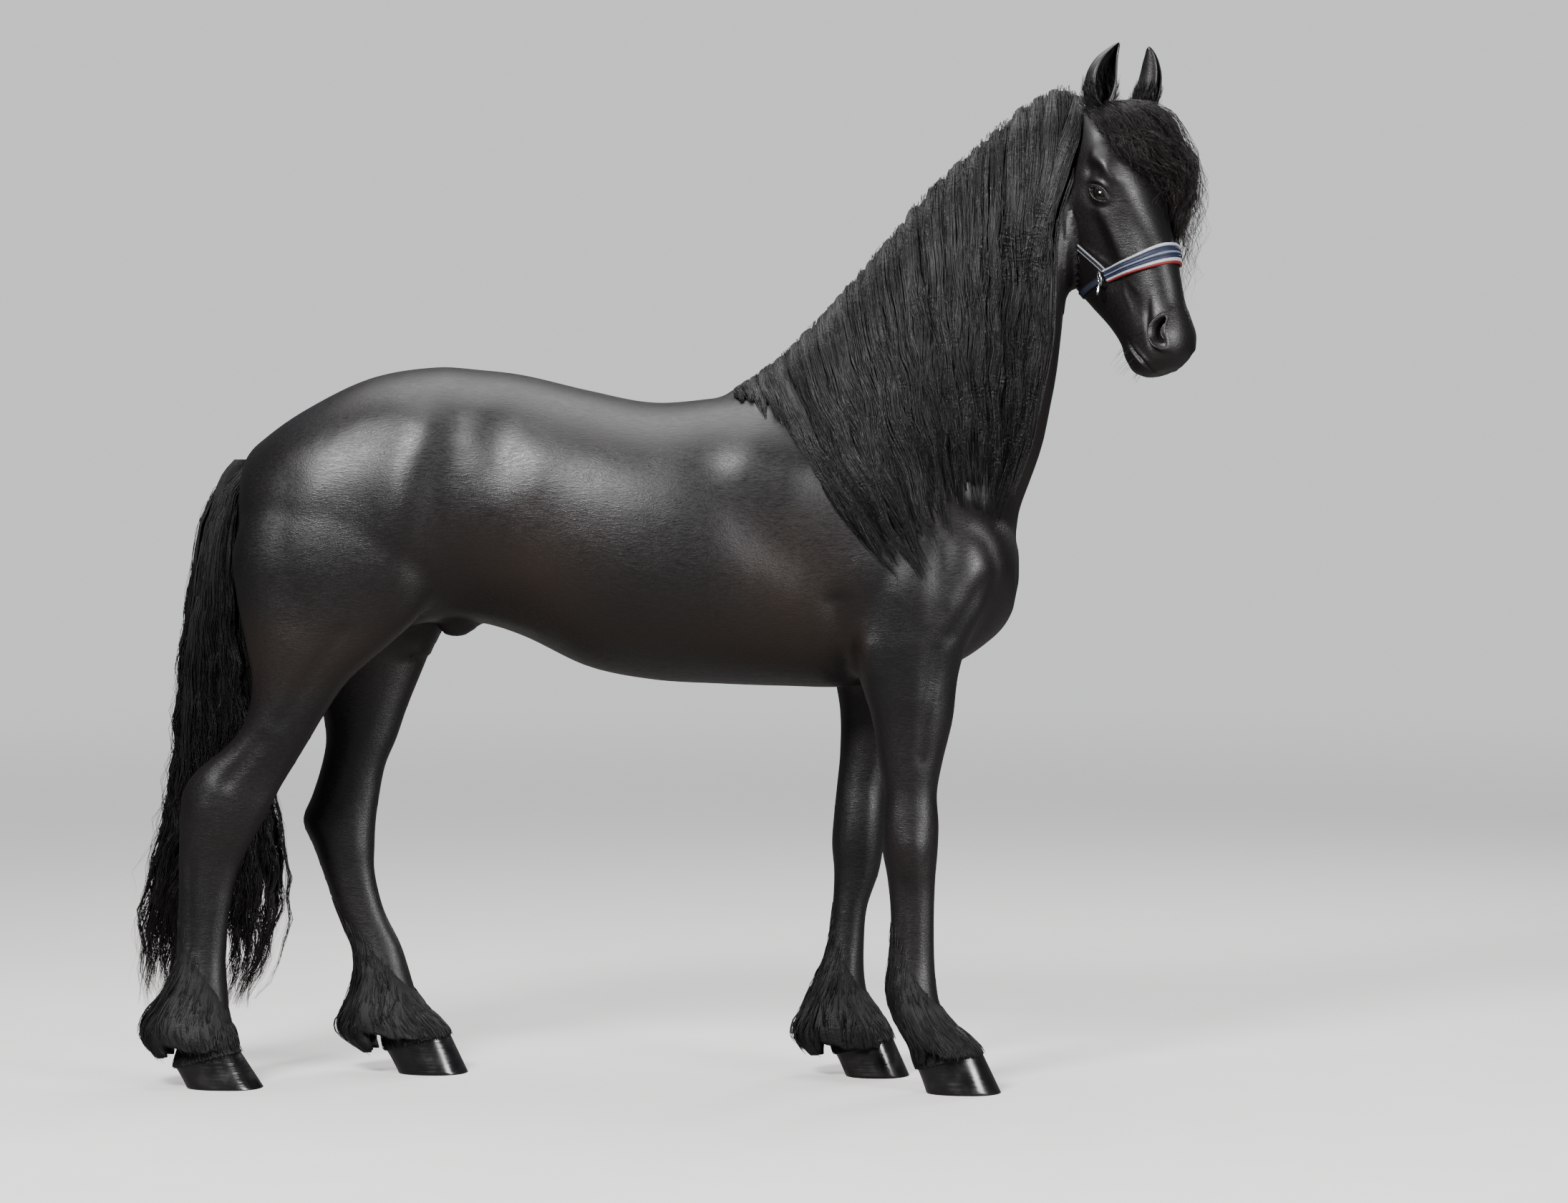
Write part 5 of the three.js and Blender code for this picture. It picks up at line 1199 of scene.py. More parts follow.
# Each lock leaves the dock and joins a turn and share of the tail's level sections, which carry it down.
# Towards its end the tail parts into a front and a back bunch
def tailFlow(count, rings, shareLow, shareHigh, wave, tipLow):
    turn = shuffledTurns(count)
    share = np.sqrt(rng.uniform(shareLow**2, shareHigh**2, count))
    q = rng.uniform(0, 1, count) ** 1.3
    dockX, dockZ = readKeys(tail["dock"], q).T
    tipZ = tipLow + 330 * rng.uniform(0, 1, count) ** 3.2
    u = np.linspace(0, 1, rings)[None]
    rootZ = np.minimum(dockZ, tail["highestRoot"])
    z = rootZ[:, None] + (tipZ - rootZ)[:, None] * u
    front, back, y, wide = np.moveaxis(readKeys(tail["keys"], z), -1, 0)
    lie = turn[:, None] + rng.normal(0, 0.22, (count, 1)) * u
    grow = ease(0.05, 0.5, u)
    phase = rng.uniform(0, 6.3, (3, count, 1))
    pitch = rng.uniform(100, 160, (count, 1)) / 6.28
    run = rootZ[:, None] - z
    deep = np.abs(front - back) / 2
    part = share[:, None] * (1 - 0.12 * ease(0.75, 1, u) * rng.uniform(-1, 1, (count, 1)))
    bunch = ease(0.55, 0.92, u)
    c = np.cos(lie)
    c = c * (1 - bunch) + np.sign(c) * (0.35 + 0.65 * np.abs(c)) * bunch
    x = (front + back) / 2 + deep * part * c + wave * grow * np.sin(run / pitch + phase[0])
    x = x + 12 * ease(0.3, 1, u) * np.sin(run / 60 + phase[2])
    across = y + wide * part * np.sin(lie) + wave * 0.8 * grow * np.sin(run / pitch + phase[1])
    radius = tail["dockRadius"]
    start = together(dockX + radius * 0.5 * np.cos(turn), radius * np.sin(turn), dockZ + radius * 0.4)
    leave = ease(-0.02, 0.09, u)[..., None]
    paths = start[:, None] * (1 - leave) + np.stack([x, across, z], axis=-1) * leave
    facing = together(np.cos(lie) / deep * 60, np.sin(lie), 0)
    return paths, facing, bakePlace(turn, 0.1 + 0.8 * q)


# A ragged core under the locks: the level sections at two thirds of their size
def makeTailCore():
    columns, rows, top, foot, ragged, parts = tail["core"]
    u = np.linspace(0, 1, rows)[None]
    z = top - (top - (foot + ragged * np.sin(np.arange(columns) * 2.4)))[:, None] * u
    front, back, y, wide = np.moveaxis(readKeys(tail["keys"], z), -1, 0)
    turn = turnsOf(columns)[:, None]
    size = tail["coreSize"] * (1 - 0.25 * ease(0.7, 1, u))
    outer, inner = [together((front + back) / 2 + part * size * (front - back) / 2 * np.cos(turn),
                             y + part * size * wide * np.sin(turn), z) for part in parts]
    makeSheet("tailCore", outer, inner, bakePlace(turn, 0.1 + 0.8 * u), tailHair, True, ["tail"])


makeTailCore()
for name, (count, each, rings, breadth, wide, thick, *flowValues) in tail["layers"].items():
    flow = tailFlow(count, tail["rings"], *flowValues)
    combLocks(name, flow, rng.uniform(*breadth, count), each, rings, wide, thick, tailHair, ["tail"],
              wave=flowValues[2] * 0.6, **tail["bend"])
stage("tail combed")


hoof = {
    "y": 130, "half": 68, "coronetHalf": 56, "grid": (40, 72),
    # rounding of the coronet at the last three rings: ring, share inwards, drop
    "rounding": [(-3, 0.0, 2.0), (-2, 0.05, 0.0), (-1, 0.3, -3.0)],
    # toe, heel, coronet toe, coronet heel, toe high, heel high
    "foreRight": (500, 330, 452, 308, 101, 58), "foreLeft": (287, 138, 243, 112, 99, 55),
    "hindRight": (-1188, -1362, -1248, -1390, 92, 48), "hindLeft": (-748, -910, -796, -942, 101, 56),
}


# Hoof: ovals from the ground to the coronet's slope; z = share * the coronet's height over that place
def hoofAt(name, turn, up):
    toe, heel, coronetToe, coronetHeel, toeHigh, heelHigh = hoof[name]
    front = toe + (coronetToe - toe) * up
    back = heel + (coronetHeel - heel) * up
    half = hoof["half"] + (hoof["coronetHalf"] - hoof["half"]) * up
    half = half * (1 - 0.03 * bell(up, 0.04))
    middle = front - half * 1.05
    across, along = oval(np.pi / 2 - turn, half, front - middle, middle - back, 2.1, 2.5)
    x = middle + along
    slope = np.clip((coronetToe - x) / (coronetToe - coronetHeel), 0, 1)
    high = toeHigh - (toeHigh - heelHigh) * slope + 5 * np.sin(np.pi * slope)
    return together(x, legSides[name] * hoof["y"] + across, up * high)


# Hoof: some rows are drawn to the middle by inset and lowered by drop
def makeHoof(name):
    rows, sides = hoof["grid"]
    up = np.concatenate([np.linspace(0, 1, rows), [1.0, 1.0]])[:, None]
    rings = hoofAt(name, turnsOf(sides)[None], up)
    middle = rings[-1].mean(0)
    for row, inset, drop in hoof["rounding"]:
        rings[row] = rings[row] + (middle - rings[row]) * inset - np.array([0, 0, drop])
    points, faceSets = loft(rings)
    piece = makePiece("hoof" + name[0].upper() + name[1:], points, faceSets, [horn])
    carry(piece, "hoof_horn", f"hoof_{name[:4]}_{name[4:].lower()}")


for name in legSides:
    makeHoof(name)


feather = {
    "rings": 30, "y": 130,
    # turn from straight behind in degrees, height of the lower rim
    "rim": [(0, 94), (14, 83), (29, 73), (41, 74), (50, 85), (59, 104), (68, 103), (95, 89), (150, 96),
            (180, 104)],
    # how much lower the rim hangs, behind and in front
    "drop": {"foreRight": (6, 4), "foreLeft": (22, 22), "hindRight": (2, 2), "hindLeft": (22, 4)},
    # columns and rows of the bell and of the cuff, and the share of the cuff above the coronet's edge
    "bell": (72, 30), "cuff": (72, 16), "crown": 0.82,
    # hairs of the cuff: count, rings, width, thick
    "cuffHair": (420, 6, (1.6, 3.4), 1.0),
    # locks, strands in each, rings, breadth, strand width, thick, share low and high
    "layers": {"Coat": (440, 2, 6, (5, 10), (1.6, 3.4), 1.1, 0.93, 1.0),
               "Locks": (70, 6, 8, (8, 16), (1.3, 2.6), 1.0, 0.98, 1.05)},
    "bend": {"bulge": 0.1, "wave": 0.5, "stray": 0.9, "endLow": 0.75, "close": 0.5},
    # how far its bell reaches: z, front, back, wide
    "reach": {
        "foreRight": [(430, 350, 248, 38), (330, 351, 236, 44), (250, 355, 230, 56), (190, 374, 238, 64),
                      (140, 408, 266, 72), (95, 446, 292, 77), (30, 458, 308, 78)],
        "foreLeft": [(430, 205, 102, 38), (330, 188, 84, 44), (250, 188, 48, 56), (190, 198, 20, 64),
                     (140, 226, 8, 72), (95, 246, 12, 77), (30, 258, 54, 78)],
        "hindRight": [(430, -1256, -1386, 38), (330, -1266, -1392, 44), (270, -1270, -1422, 54),
                      (215, -1272, -1462, 64), (165, -1264, -1484, 72), (110, -1250, -1472, 78),
                      (30, -1240, -1404, 78)],
        "hindLeft": [(430, -953, -1078, 38), (330, -912, -1050, 44), (250, -882, -1052, 56),
                     (190, -862, -1064, 64), (145, -834, -1074, 72), (95, -790, -1060, 77),
                     (30, -774, -984, 78)],
    },
}


# Places on the feather at turns and heights, between the leg (share 0) and the full reach (share 1)
def featherAt(name, turn, z, share):
    inner, outer = readKeys(body[name], z), readKeys(feather["reach"][name], z)
    innerDeep, outerDeep = (inner[..., 0] - inner[..., 1]) / 2, (outer[..., 0] - outer[..., 1]) / 2
    middle = (inner[..., 0] + inner[..., 1]) / 2 * (1 - share) + (outer[..., 0] + outer[..., 1]) / 2 * share
    deep = innerDeep * 0.96 * (1 - share) + outerDeep * share
    wide = inner[..., 3] * 0.96 * (1 - share) + outer[..., 2] * share
    return together(middle + deep * np.cos(turn), legSides[name] * feather["y"] + wide * np.sin(turn), z)


# Height of the feather's lower rim at a turn
def rimAt(name, turn):
    behind = np.abs(180 - np.degrees(np.mod(turn, 2 * np.pi)))
    low, high = feather["drop"][name]
    return readKeys(feather["rim"], behind)[..., 0] - low - (high - low) * ease(30, 70, behind)


# Each hair springs from the lower leg at a turn and height, opens out with the bell and hangs to its rim
def featherFlow(name, count, rings, shareLow, shareHigh):
    turn = shuffledTurns(count)
    behind = (1 - np.cos(turn)) / 2
    rootZ = 112 + (70 + 230 * behind) * rng.uniform(0, 1, count) ** 1.1
    long = rng.uniform(40, 95, count) * (0.6 + 0.7 * behind)
    tipZ = np.maximum(rootZ - long, rimAt(name, turn) - 5 - 9 * rng.uniform(0, 1, count))
    share = rng.uniform(shareLow, shareHigh, count)
    u = np.linspace(0, 1, rings)[None]
    z = rootZ[:, None] + np.minimum(tipZ - rootZ, -16)[:, None] * u
    lie = turn[:, None] + rng.normal(0, 0.1, (count, 1)) * u
    opened = ease(rimAt(name, turn) + 190 + 60 * behind, rimAt(name, turn) + 20, z.T).T
    paths = featherAt(name, lie, z, opened * share[:, None] - 0.06 * (1 - ease(0, 0.3, u)))
    phase = rng.uniform(0, 6.3, (2, count, 1))
    run = u * (rootZ - tipZ)[:, None]
    curl = 2.0 * ease(0.15, 0.9, u)
    paths[..., 0] += curl * np.sin(run / 11 + phase[0])
    paths[..., 1] += curl * np.sin(run / 12 + phase[1])
    facing = together(np.cos(lie), np.sin(lie), 0.15)
    return paths, facing, bakePlace(turn, 0.05 + 0.8 * rootZ / 450)


# A close bell under the hair, open below round the pastern
def makeBell(name):
    columns, rows = feather["bell"]
    turn = turnsOf(columns)[:, None]
    u = np.linspace(0, 1, rows)[None]
    behind = (1 - np.cos(turn)) / 2
    topZ = 190 + 170 * behind
    z = topZ + (rimAt(name, turn) + 3 * np.sin(turn * 17) - topZ) * u
    opened = ease(0, 1, (rimAt(name, turn) + 190 + 60 * behind - z) / (170 + 60 * behind))
    share = opened * 0.95 - 0.1 * (1 - ease(0, 0.12, u))
    outer, inner = featherAt(name, turn, z, share), featherAt(name, turn, z, share - 0.16)
    makeSheet(name + "FeatherBell", outer, inner, bakePlace(turn, 0.05 + 0.8 * z / 450), featherHair, True)


# Cuff: from the pastern over the coronet and a little down the hoof wall
def cuffAt(name, turn, u):
    pastern = featherAt(name, turn, np.full_like(turn, 158.0), 0.0)
    crown, wall = hoofAt(name, turn, np.ones_like(turn)), hoofAt(name, turn, np.full_like(turn, 0.86))
    out = together(np.cos(turn), np.sin(turn), 0)
    t = np.clip(u / feather["crown"], 0, 1)[..., None]
    over = np.clip((u - feather["crown"]) / (1 - feather["crown"]), 0, None)[..., None]
    swell = 7 * np.sin(np.pi * t) + 3.5 * ease(0.6, 1, t)
    return pastern * (1 - t) + crown * t + (wall - crown) * over + out * swell


# Cuff: its inner side lies 0.2 of the way to its middle and 2 mm up
def makeCuff(name):
    columns, rows = feather["cuff"]
    turn, u = np.broadcast_arrays(turnsOf(columns)[:, None], np.linspace(0, 0.97, rows)[None])
    outer = cuffAt(name, turn, u)
    centre = outer.mean(0, keepdims=True)
    inner = outer + (centre - outer) * 0.2 + np.array([0, 0, 2.0])
    makeSheet(name + "Cuff", outer, inner, bakePlace(turn, 0.02 + 0.02 * u), featherHair, True)


# Short hairs on the cuff, each over a part of its height and standing off it towards the tip
def combCuff(name):
    count, rings, wide, thick = feather["cuffHair"]
    t = np.linspace(0, 1, 2 * rings)[None]
    turn = rng.uniform(0, 2 * np.pi, (count, 1)) + 0 * t
    start = rng.uniform(0, 0.72, (count, 1))
    u = start + np.minimum(rng.uniform(0.3, 0.6, (count, 1)), 1.08 - start) * t
    out = together(np.cos(turn), np.sin(turn), 0.2)
    paths = cuffAt(name, turn, u) + out * (3.5 * ease(0, 0.5, t) - 1)[..., None]
    roots = bakePlace(turn[:, 0], 0.02 + 0.02 * start[:, 0])
    paths, out = paths[:, ::2], out[:, ::2]
    makeLocks(name + "CuffHair", paths, out, rng.uniform(*wide, count), thick, roots, featherHair)


for name in legSides:
    makeBell(name)
    makeCuff(name)
    combCuff(name)
    for part, (count, each, rings, breadth, wide, thick, shareLow, shareHigh) in feather["layers"].items():
        flow = featherFlow(name, count, feather["rings"], shareLow, shareHigh)
        combLocks(name + "Feather" + part, flow, rng.uniform(*breadth, count), each, rings, wide, thick,
                  featherHair, **feather["bend"])
stage("feathers combed")


forelock = {
    "rings": 70,
    # share 0 on the far side, 1 beside the near ear: turns at the root, a third, two thirds and the tip
    "turns": [(0, 40, 16, 4, 0), (0.35, 76, 52, 32, 16), (0.7, 118, 100, 76, 52), (1, 156, 146, 124, 96)],
    # how far down the face each falls, and its most distance from the skin
    "ends": [(0, 372), (0.4, 345), (0.7, 275), (1, 205)],
    "away": [(0, 84), (0.35, 74), (0.7, 50), (1, 22)],
    # sheet under the locks: columns, rows, root, share of the most distance, thickness
    "base": (60, 40, -4.0, 0.3, 7),
    # locks, strands in each, rings, breadth, width, thick, away low and high, bulge, wave, stray, reach low
    "layers": {"forelockUnder": (20, 20, 14, (26, 40), (2.8, 5), 1.6, 0.2, 0.6, 0.2, 3, 1.6, 0.75),
               "forelockTop": (28, 32, 18, (18, 34), (1.3, 2.8), 1.0, 0.5, 1.04, 0.4, 12, 4.6, 0.66),
               "forelockStray": (120, 5, 20, (18, 50), (0.9, 1.5), 0.7, 0.35, 1.3, 0.3, 13, 7.0, 0.9)},
    "bend": {"endLow": 0.6, "close": 0.7, "early": 1.1},
}


# Each lock rises from the poll, lies over the brow at a share of the most distance, and falls to the far
# side. Its turn is mixed from the four stops k of its share, each weighing max(0, 1 - |3 * fallen - k|)
def forelockFlow(share, root, away, reach, rings):
    whole = readKeys(forelock["ends"], share)
    u = np.linspace(0, 1, rings)[None]
    down = root[:, None] + (whole[:, 0] * reach - root)[:, None] * u
    stops = readKeys(forelock["turns"], share)
    third = (down / whole).clip(0, 1) * 3
    near = np.stack([np.clip(1 - np.abs(third - k), 0, 1) for k in range(4)], axis=-1)
    turn = np.radians((near * stops[:, None]).sum(-1))
    most = readKeys(forelock["away"], share) * away[:, None]
    lift = most * (0.55 + 0.45 * ease(0.1, 0.7, u)) * ease(-0.06, 0.16, u)
    lift = lift + 34 * ease(0, 0.06, u) * (1 - ease(0.06, 0.42, u))
    lift = (lift - 6 * (1 - ease(0, 0.05, u))) * (1 - 0.4 * ease(0.7, 1, u))
    paths = onSkin(down, turn, lift)
    smoothAlong(paths, 5)
    facing = onSkin(down, turn, lift + 30) - onSkin(down, turn, lift)
    return paths, facing, np.stack([0.1 + 0.8 * share, 0.5 + root / 100], axis=-1)


# A short sheet under the forelock, at a share of its most distance
def makeForelockBase():
    columns, rows, root, away, thick = forelock["base"]
    share = np.linspace(0, 1, columns)
    reach = 0.5 + 0.05 * np.sin(share * 60)
    outer, facing, _ = forelockFlow(share, np.full(columns, root), np.full(columns, away), reach, rows)
    roots = together(0.1 + 0.8 * share[:, None], 0.3 + 0.4 * np.linspace(0, 1, rows)[None])
    makeSheet("forelockBase", outer, outer - unit(facing) * thick, roots, frizzyHair)


makeForelockBase()
for name, (count, each, rings, breadth, wide, thick, awayLow, awayHigh, bulge, wave, stray,
           least) in forelock["layers"].items():
    share = np.clip((np.arange(count) + rng.uniform(0, 1, count)) / count, 0, 1)
    root, away = rng.uniform(-14, 10, count), rng.uniform(awayLow, awayHigh, count)
    flow = forelockFlow(share, root, away, rng.uniform(least, least + 0.48, count), forelock["rings"])
    combLocks(name, flow, rng.uniform(*breadth, count), each, rings, wide, thick, frizzyHair,
              bulge=bulge, wave=wave, stray=stray, **forelock["bend"])
stage("forelock combed")


# Ears: a shell whose rings are arcs, open in front, with an outer and an inner wall
ear = {
    "down": 8, "front": -36, "out": {"right": 70, "left": 96}, "opening": 22.0,
    "foot": -62, "high": 201, "rows": 74, "sides": 30, "hairTop": 132,
    # up, side, deep, wall, split, lean, inward
    "right": [(-62, 18, 18, 0.95, 4, -16, 34), (-36, 23, 24, 0.9, 5, -10, 20), (-6, 31, 31, 0.6, 16, -3, 5),
              (22, 37, 35, 0.26, 40, 3, -3), (50, 38, 36, 0.16, 50, 8, -5), (78, 35, 32, 0.16, 50, 13, -4),
              (104, 27, 24, 0.2, 46, 21, 1), (122, 17, 15, 0.3, 40, 30, 9), (134, 8, 7, 0.5, 30, 37, 16),
              (139, 1.5, 1.5, 0.7, 20, 40, 20)],
    "left": [(-62, 18, 18, 0.95, 4, -14, 40), (-36, 23, 24, 0.9, 5, -8, 24), (-6, 29, 29, 0.6, 16, -1, 4),
             (22, 33, 33, 0.26, 40, 6, -6), (50, 31, 33, 0.16, 50, 14, -10), (78, 26, 29, 0.16, 50, 20, -9),
             (104, 19, 22, 0.2, 46, 24, -2), (122, 12, 14, 0.3, 40, 27, 6), (134, 6, 7, 0.5, 30, 28, 13),
             (139, 1.5, 1.5, 0.7, 20, 29, 16)],
    # hair: count, lowest and highest root, length, share of the reach at root and tip, drift, width
    "hair": {"earFoot": (560, -46, 30, 48, 0.2, 2.2, 0.0, (1.2, 2.6)),
             "earCup": (260, -10, 70, 46, 0.0, -3.2, -0.1, (0.8, 1.6))},
}


# A place on an ear at a height, a share of the arc round it (0 and 1 are the edges of the cup) and a share
# of the wall from inside to outside: reach * (1 - wall * (1 - share)) out from the ear's middle
def earAt(hand, up, arc, share):
    side = 1 if hand == "left" else -1
    reach, deep, wall, split, lean, inward = np.moveaxis(readKeys(ear[hand], up), -1, 0)
    turn = math.radians(ear["opening"]) + np.radians(split) + (2 * np.pi - 2 * np.radians(split)) * arc
    share = 1 - wall * (1 - share)
    x = lean + deep * share * np.cos(turn)
    y = side * (ear["out"][hand] - inward + reach * share * np.sin(turn))
    c, s = math.cos(-yaw), math.sin(-yaw)
    root = onHead(ear["down"], ear["front"], 0.0)
    return root + together(x * c - y * s, x * s + y * c, up)


# Ear: each ring goes round the outer wall and back along the inner one
def makeEar(hand):
    sides = ear["sides"]
    up = ear["foot"] + ear["high"] * np.linspace(0, 1, ear["rows"])[:, None] ** 0.9
    arc = np.concatenate([np.linspace(0, 1, sides), np.linspace(1, 0, sides)])[None]
    share = np.repeat([1.0, 0.0], sides)[None]
    points, faceSets = loft(earAt(hand, *np.broadcast_arrays(up, arc, share)))
    piece = makePiece(f"ear{hand.title()}", points, faceSets, [coat])
    carry(piece, "coat", f"ear_{hand}")


# Hair of an ear: hair up over its foot outside, and hair from inside the cup out past its edges
def earHair(hand, name):
    count, low, high, long, shareStart, shareEnd, drift, wide = ear["hair"][name]
    up = rng.uniform(low, high, (count, 1))
    t = np.linspace(0, 1, 6)[None]
    arc = rng.uniform(0, 1, (count, 1))
    lie = np.clip(arc + drift * np.sign(arc - 0.5) * t + rng.normal(0, 0.012, (count, 1)) * t, 0, 1)
    share = shareStart + (shareEnd * rng.uniform(0.7, 1.2, (count, 1)) - shareStart) * t
    risen = np.minimum(up + rng.uniform(0.5, 1, (count, 1)) * long * t, ear["hairTop"])
    paths = earAt(hand, risen, lie, share)
    facing = earAt(hand, risen, lie, share + 1.0) - paths
    roots = np.concatenate([0.1 + 0.8 * arc, 0.1 + 0.8 * (up - ear["foot"]) / ear["high"]], axis=1)
    makeLocks(name + hand.title(), paths, facing, rng.uniform(*wide, count), 0.6, roots, longHair)


for hand in ("right", "left"):
    makeEar(hand)
    for name in ear["hair"]:
        earHair(hand, name)


# Eyes: a flattened ball along the slit of the lids, with a clearer bulge in front
def makeEye(hand):
    side = 1 if hand == "left" else -1
    centre = onHead(eye["down"], eye["front"], side * eye["side"])
    slit = headDown * math.cos(slant) + headFront * math.sin(slant)
    rise = headFront * math.cos(slant) - headDown * math.sin(slant)
    v = np.linspace(0.02, np.pi - 0.02, 48)[:, None, None]
    u = turnsOf(56)[None, :, None]
    across = eye["long"] * np.cos(u) * slit + eye["high"] * np.sin(u) * rise
    ball = eye["out"] * np.cos(v) * side * headLeft + np.sin(v) * across
    points, faceSets = loft(centre + (1 + 0.05 * bell(v, 0.5)) * ball)
    piece = makePiece(f"eye{hand.title()}", points, faceSets, [eyeGloss])
    carry(piece, "eye", f"eye_{hand}")


for hand in ("right", "left"):
    makeEye(hand)


# Whiskers: hairs straight out from the skin of lips and chin, sinking by 0.3 * length * t^2
whisker = {"count": 46, "down": (535, 612), "turns": (196, 344), "long": (16, 42), "wide": 0.7, "thick": 0.5}


def makeWhiskers():
    count = whisker["count"]
    down = rng.uniform(*whisker["down"], (count, 1))
    turn = np.radians(rng.uniform(*whisker["turns"], (count, 1)))
    t = np.linspace(0, 1, 6)[None]
    long = rng.uniform(*whisker["long"], (count, 1))
    paths = onSkin(down + 0.35 * long * t, turn + 0 * t, long * t - 2)
    paths[..., 2] -= 0.3 * long * t**2
    facing = np.broadcast_to(headDown, paths.shape)
    roots = np.concatenate([0.1 + 0.8 * turn / (2 * np.pi), down / 700], axis=1)
    makeLocks("whiskers", paths, facing, whisker["wide"], whisker["thick"], roots, longHair)


# Lashes: a row along the upper lid, out from its edge by 0.8 * length * t and bent down
lash = {"count": 44, "share": (-0.75, 0.8), "long": (9, 15), "wide": 0.8, "thick": 0.5}


def makeLashes(hand):
    count, side = lash["count"], 1 if hand == "left" else -1
    share = np.linspace(*lash["share"], count)[:, None] + rng.normal(0, 0.02, (count, 1))
    along, up = share * face["lidHalf"], lidHeight(share * face["lidHalf"], 1.0) + 1.5
    t = np.linspace(0, 1, 6)[None]
    long = rng.uniform(*lash["long"], (count, 1))
    out = eye["side"] + 25 * np.sqrt(np.clip(1 - (along / 36) ** 2 - (up / 28) ** 2, 0, 1)) + long * 0.8 * t
    up = up + long * (0.1 * t - 0.5 * t**2)
    along = along * (1 + 0.12 * t)
    paths = onHead(eye["down"] + along * math.cos(slant) - up * math.sin(slant),
                   eye["front"] + along * math.sin(slant) + up * math.cos(slant), side * out)
    facing = np.broadcast_to(headFront, paths.shape)
    roots = np.concatenate([0.5 + 0.3 * share, 0.5 + 0 * share], axis=1)
    makeLocks("lashes" + hand.title(), paths, facing, lash["wide"], lash["thick"], roots, longHair)


makeWhiskers()
for hand in ("right", "left"):
    makeLashes(hand)
stage("ears and eyes made")


halter = {
    "down": 374.0, "dip": 6.0, "ringTurn": 199.0, "lift": 1.2,
    # half breadth of the noseband in front and at the rings, of the chin strap and of the cheek strap
    "half": (25.0, 16.0), "chinHalf": 8.0, "cheekHalf": 3.3,
    # section of the padded noseband: place across and height off the skin
    "padded": [(-25, 0.5), (-26.3, 3.5), (-25, 7), (-22, 8.6), (-19, 7.2), (-17.6, 5.4), (-16, 6.4),
               (-12, 8.8), (-7, 9.3), (-3.8, 7.6), (-3, 8.4), (0, 9), (3, 8.4), (3.8, 7.6), (7, 9.3),
               (11, 8.8), (13.4, 6.4), (14.4, 6.2), (17, 7.8), (19.6, 6.2), (20.2, 5.8), (22.6, 7),
               (24.8, 5), (25.2, 2), (24, 0.2), (0, 0.2), (-24, 0.2)],
    # section of the other straps: share of the half breadth and height off the skin
    "strap": [(-1, 0.4), (-1.04, 1.6), (-0.9, 2.9), (-0.7, 3.1), (-0.55, 2.5), (0, 2.6), (0.55, 2.5),
              (0.7, 3.1), (0.9, 2.9), (1.04, 1.6), (1, 0.4), (0, 0.1)],
    # cheek strap: place down the face, turn about it
    "cheek": [(366, 200), (310, 208), (270, 213), (230, 217), (180, 220), (130, 222), (80, 222), (40, 222)],
    # radius and bar of a ring; centre, half length, half breadth and bar of a buckle
    "ring": (15, 2.4), "buckle": (25, 12, 8, 1.8),
}


# Strap: a closed section of places across it and off the skin, carried through places down and round the
# head. Its band map holds the metres along it and the share of its section's greatest reach across it
def makeStrap(name, down, turn, half, section, material, node, along="down"):
    section = np.array(section, float)
    closed = np.concatenate([section, section[:1]])
    t = np.linspace(0, len(section), 3 * len(section), endpoint=False)
    across = np.interp(t, np.arange(len(closed)), closed[:, 0])[None] / np.abs(section[:, 0]).max()
    away = np.interp(t, np.arange(len(closed)), closed[:, 1])[None] + halter["lift"]
    down, turn, half = down[:, None], turn[:, None], np.broadcast_to(half, len(down))[:, None]
    if along == "down":
        rings = onSkin(down + across * half, turn, away)
    else:
        rings = onSkin(down, turn + across * half / 90, away)
    points, faceSets = loft(rings)
    piece = makePiece(name, points, faceSets, [material])
    run = np.concatenate([[0], np.cumsum(np.linalg.norm(np.diff(rings.mean(1), axis=0), axis=1))]) / 1000
    flat = together(run[:, None], across).reshape(-1, 2)
    addMap(piece.data, "band", np.concatenate([flat, [[0, 0], [run[-1], 0]]]))
    carry(piece, "navy_webbing", node)


# Band: colours by the place across, with a woven ribbing in its relief and wear that darkens it
def bandMaterial(name, steps, roughness):
    material, tree, shader = newMaterial(name, Roughness=roughness, Specular_IOR_Level=0.4)
    uv = addNode(tree, "ShaderNodeUVMap", uv_map="band").outputs[0]
    parts = addNode(tree, "ShaderNodeSeparateXYZ", {0: uv})
    ramp = addNode(tree, "ShaderNodeValToRGB", {0: rangeOf(tree, parts.outputs[1], -1, 1, 0, 1)})
    ramp.color_ramp.interpolation = "CONSTANT"
    while len(ramp.color_ramp.elements) < len(steps):
        ramp.color_ramp.elements.new(0.5)
    for element, (at, colour) in zip(ramp.color_ramp.elements, steps):
        element.position = at
        element.color = (*colour, 1)
    worn = rangeOf(tree, noiseAt(tree, objectPlace(tree), 90.0, 5.0), 0.35, 0.75, 0.0, 0.35)
    shade = addNode(tree, "ShaderNodeMix", {0: worn, 6: ramp.outputs[0]}, data_type="RGBA",
                    blend_type="MULTIPLY", in_7=(0.45, 0.43, 0.42, 1))
    tree.links.new(shade.outputs[2], shader.inputs["Base Color"])
    weave = addNode(tree, "ShaderNodeTexChecker", {0: mapped(tree, uv, (900, 24, 1))}, in_Scale=1.0)
    addBump(tree, shader, weave.outputs[1], 0.35, 0.0004)
    return material


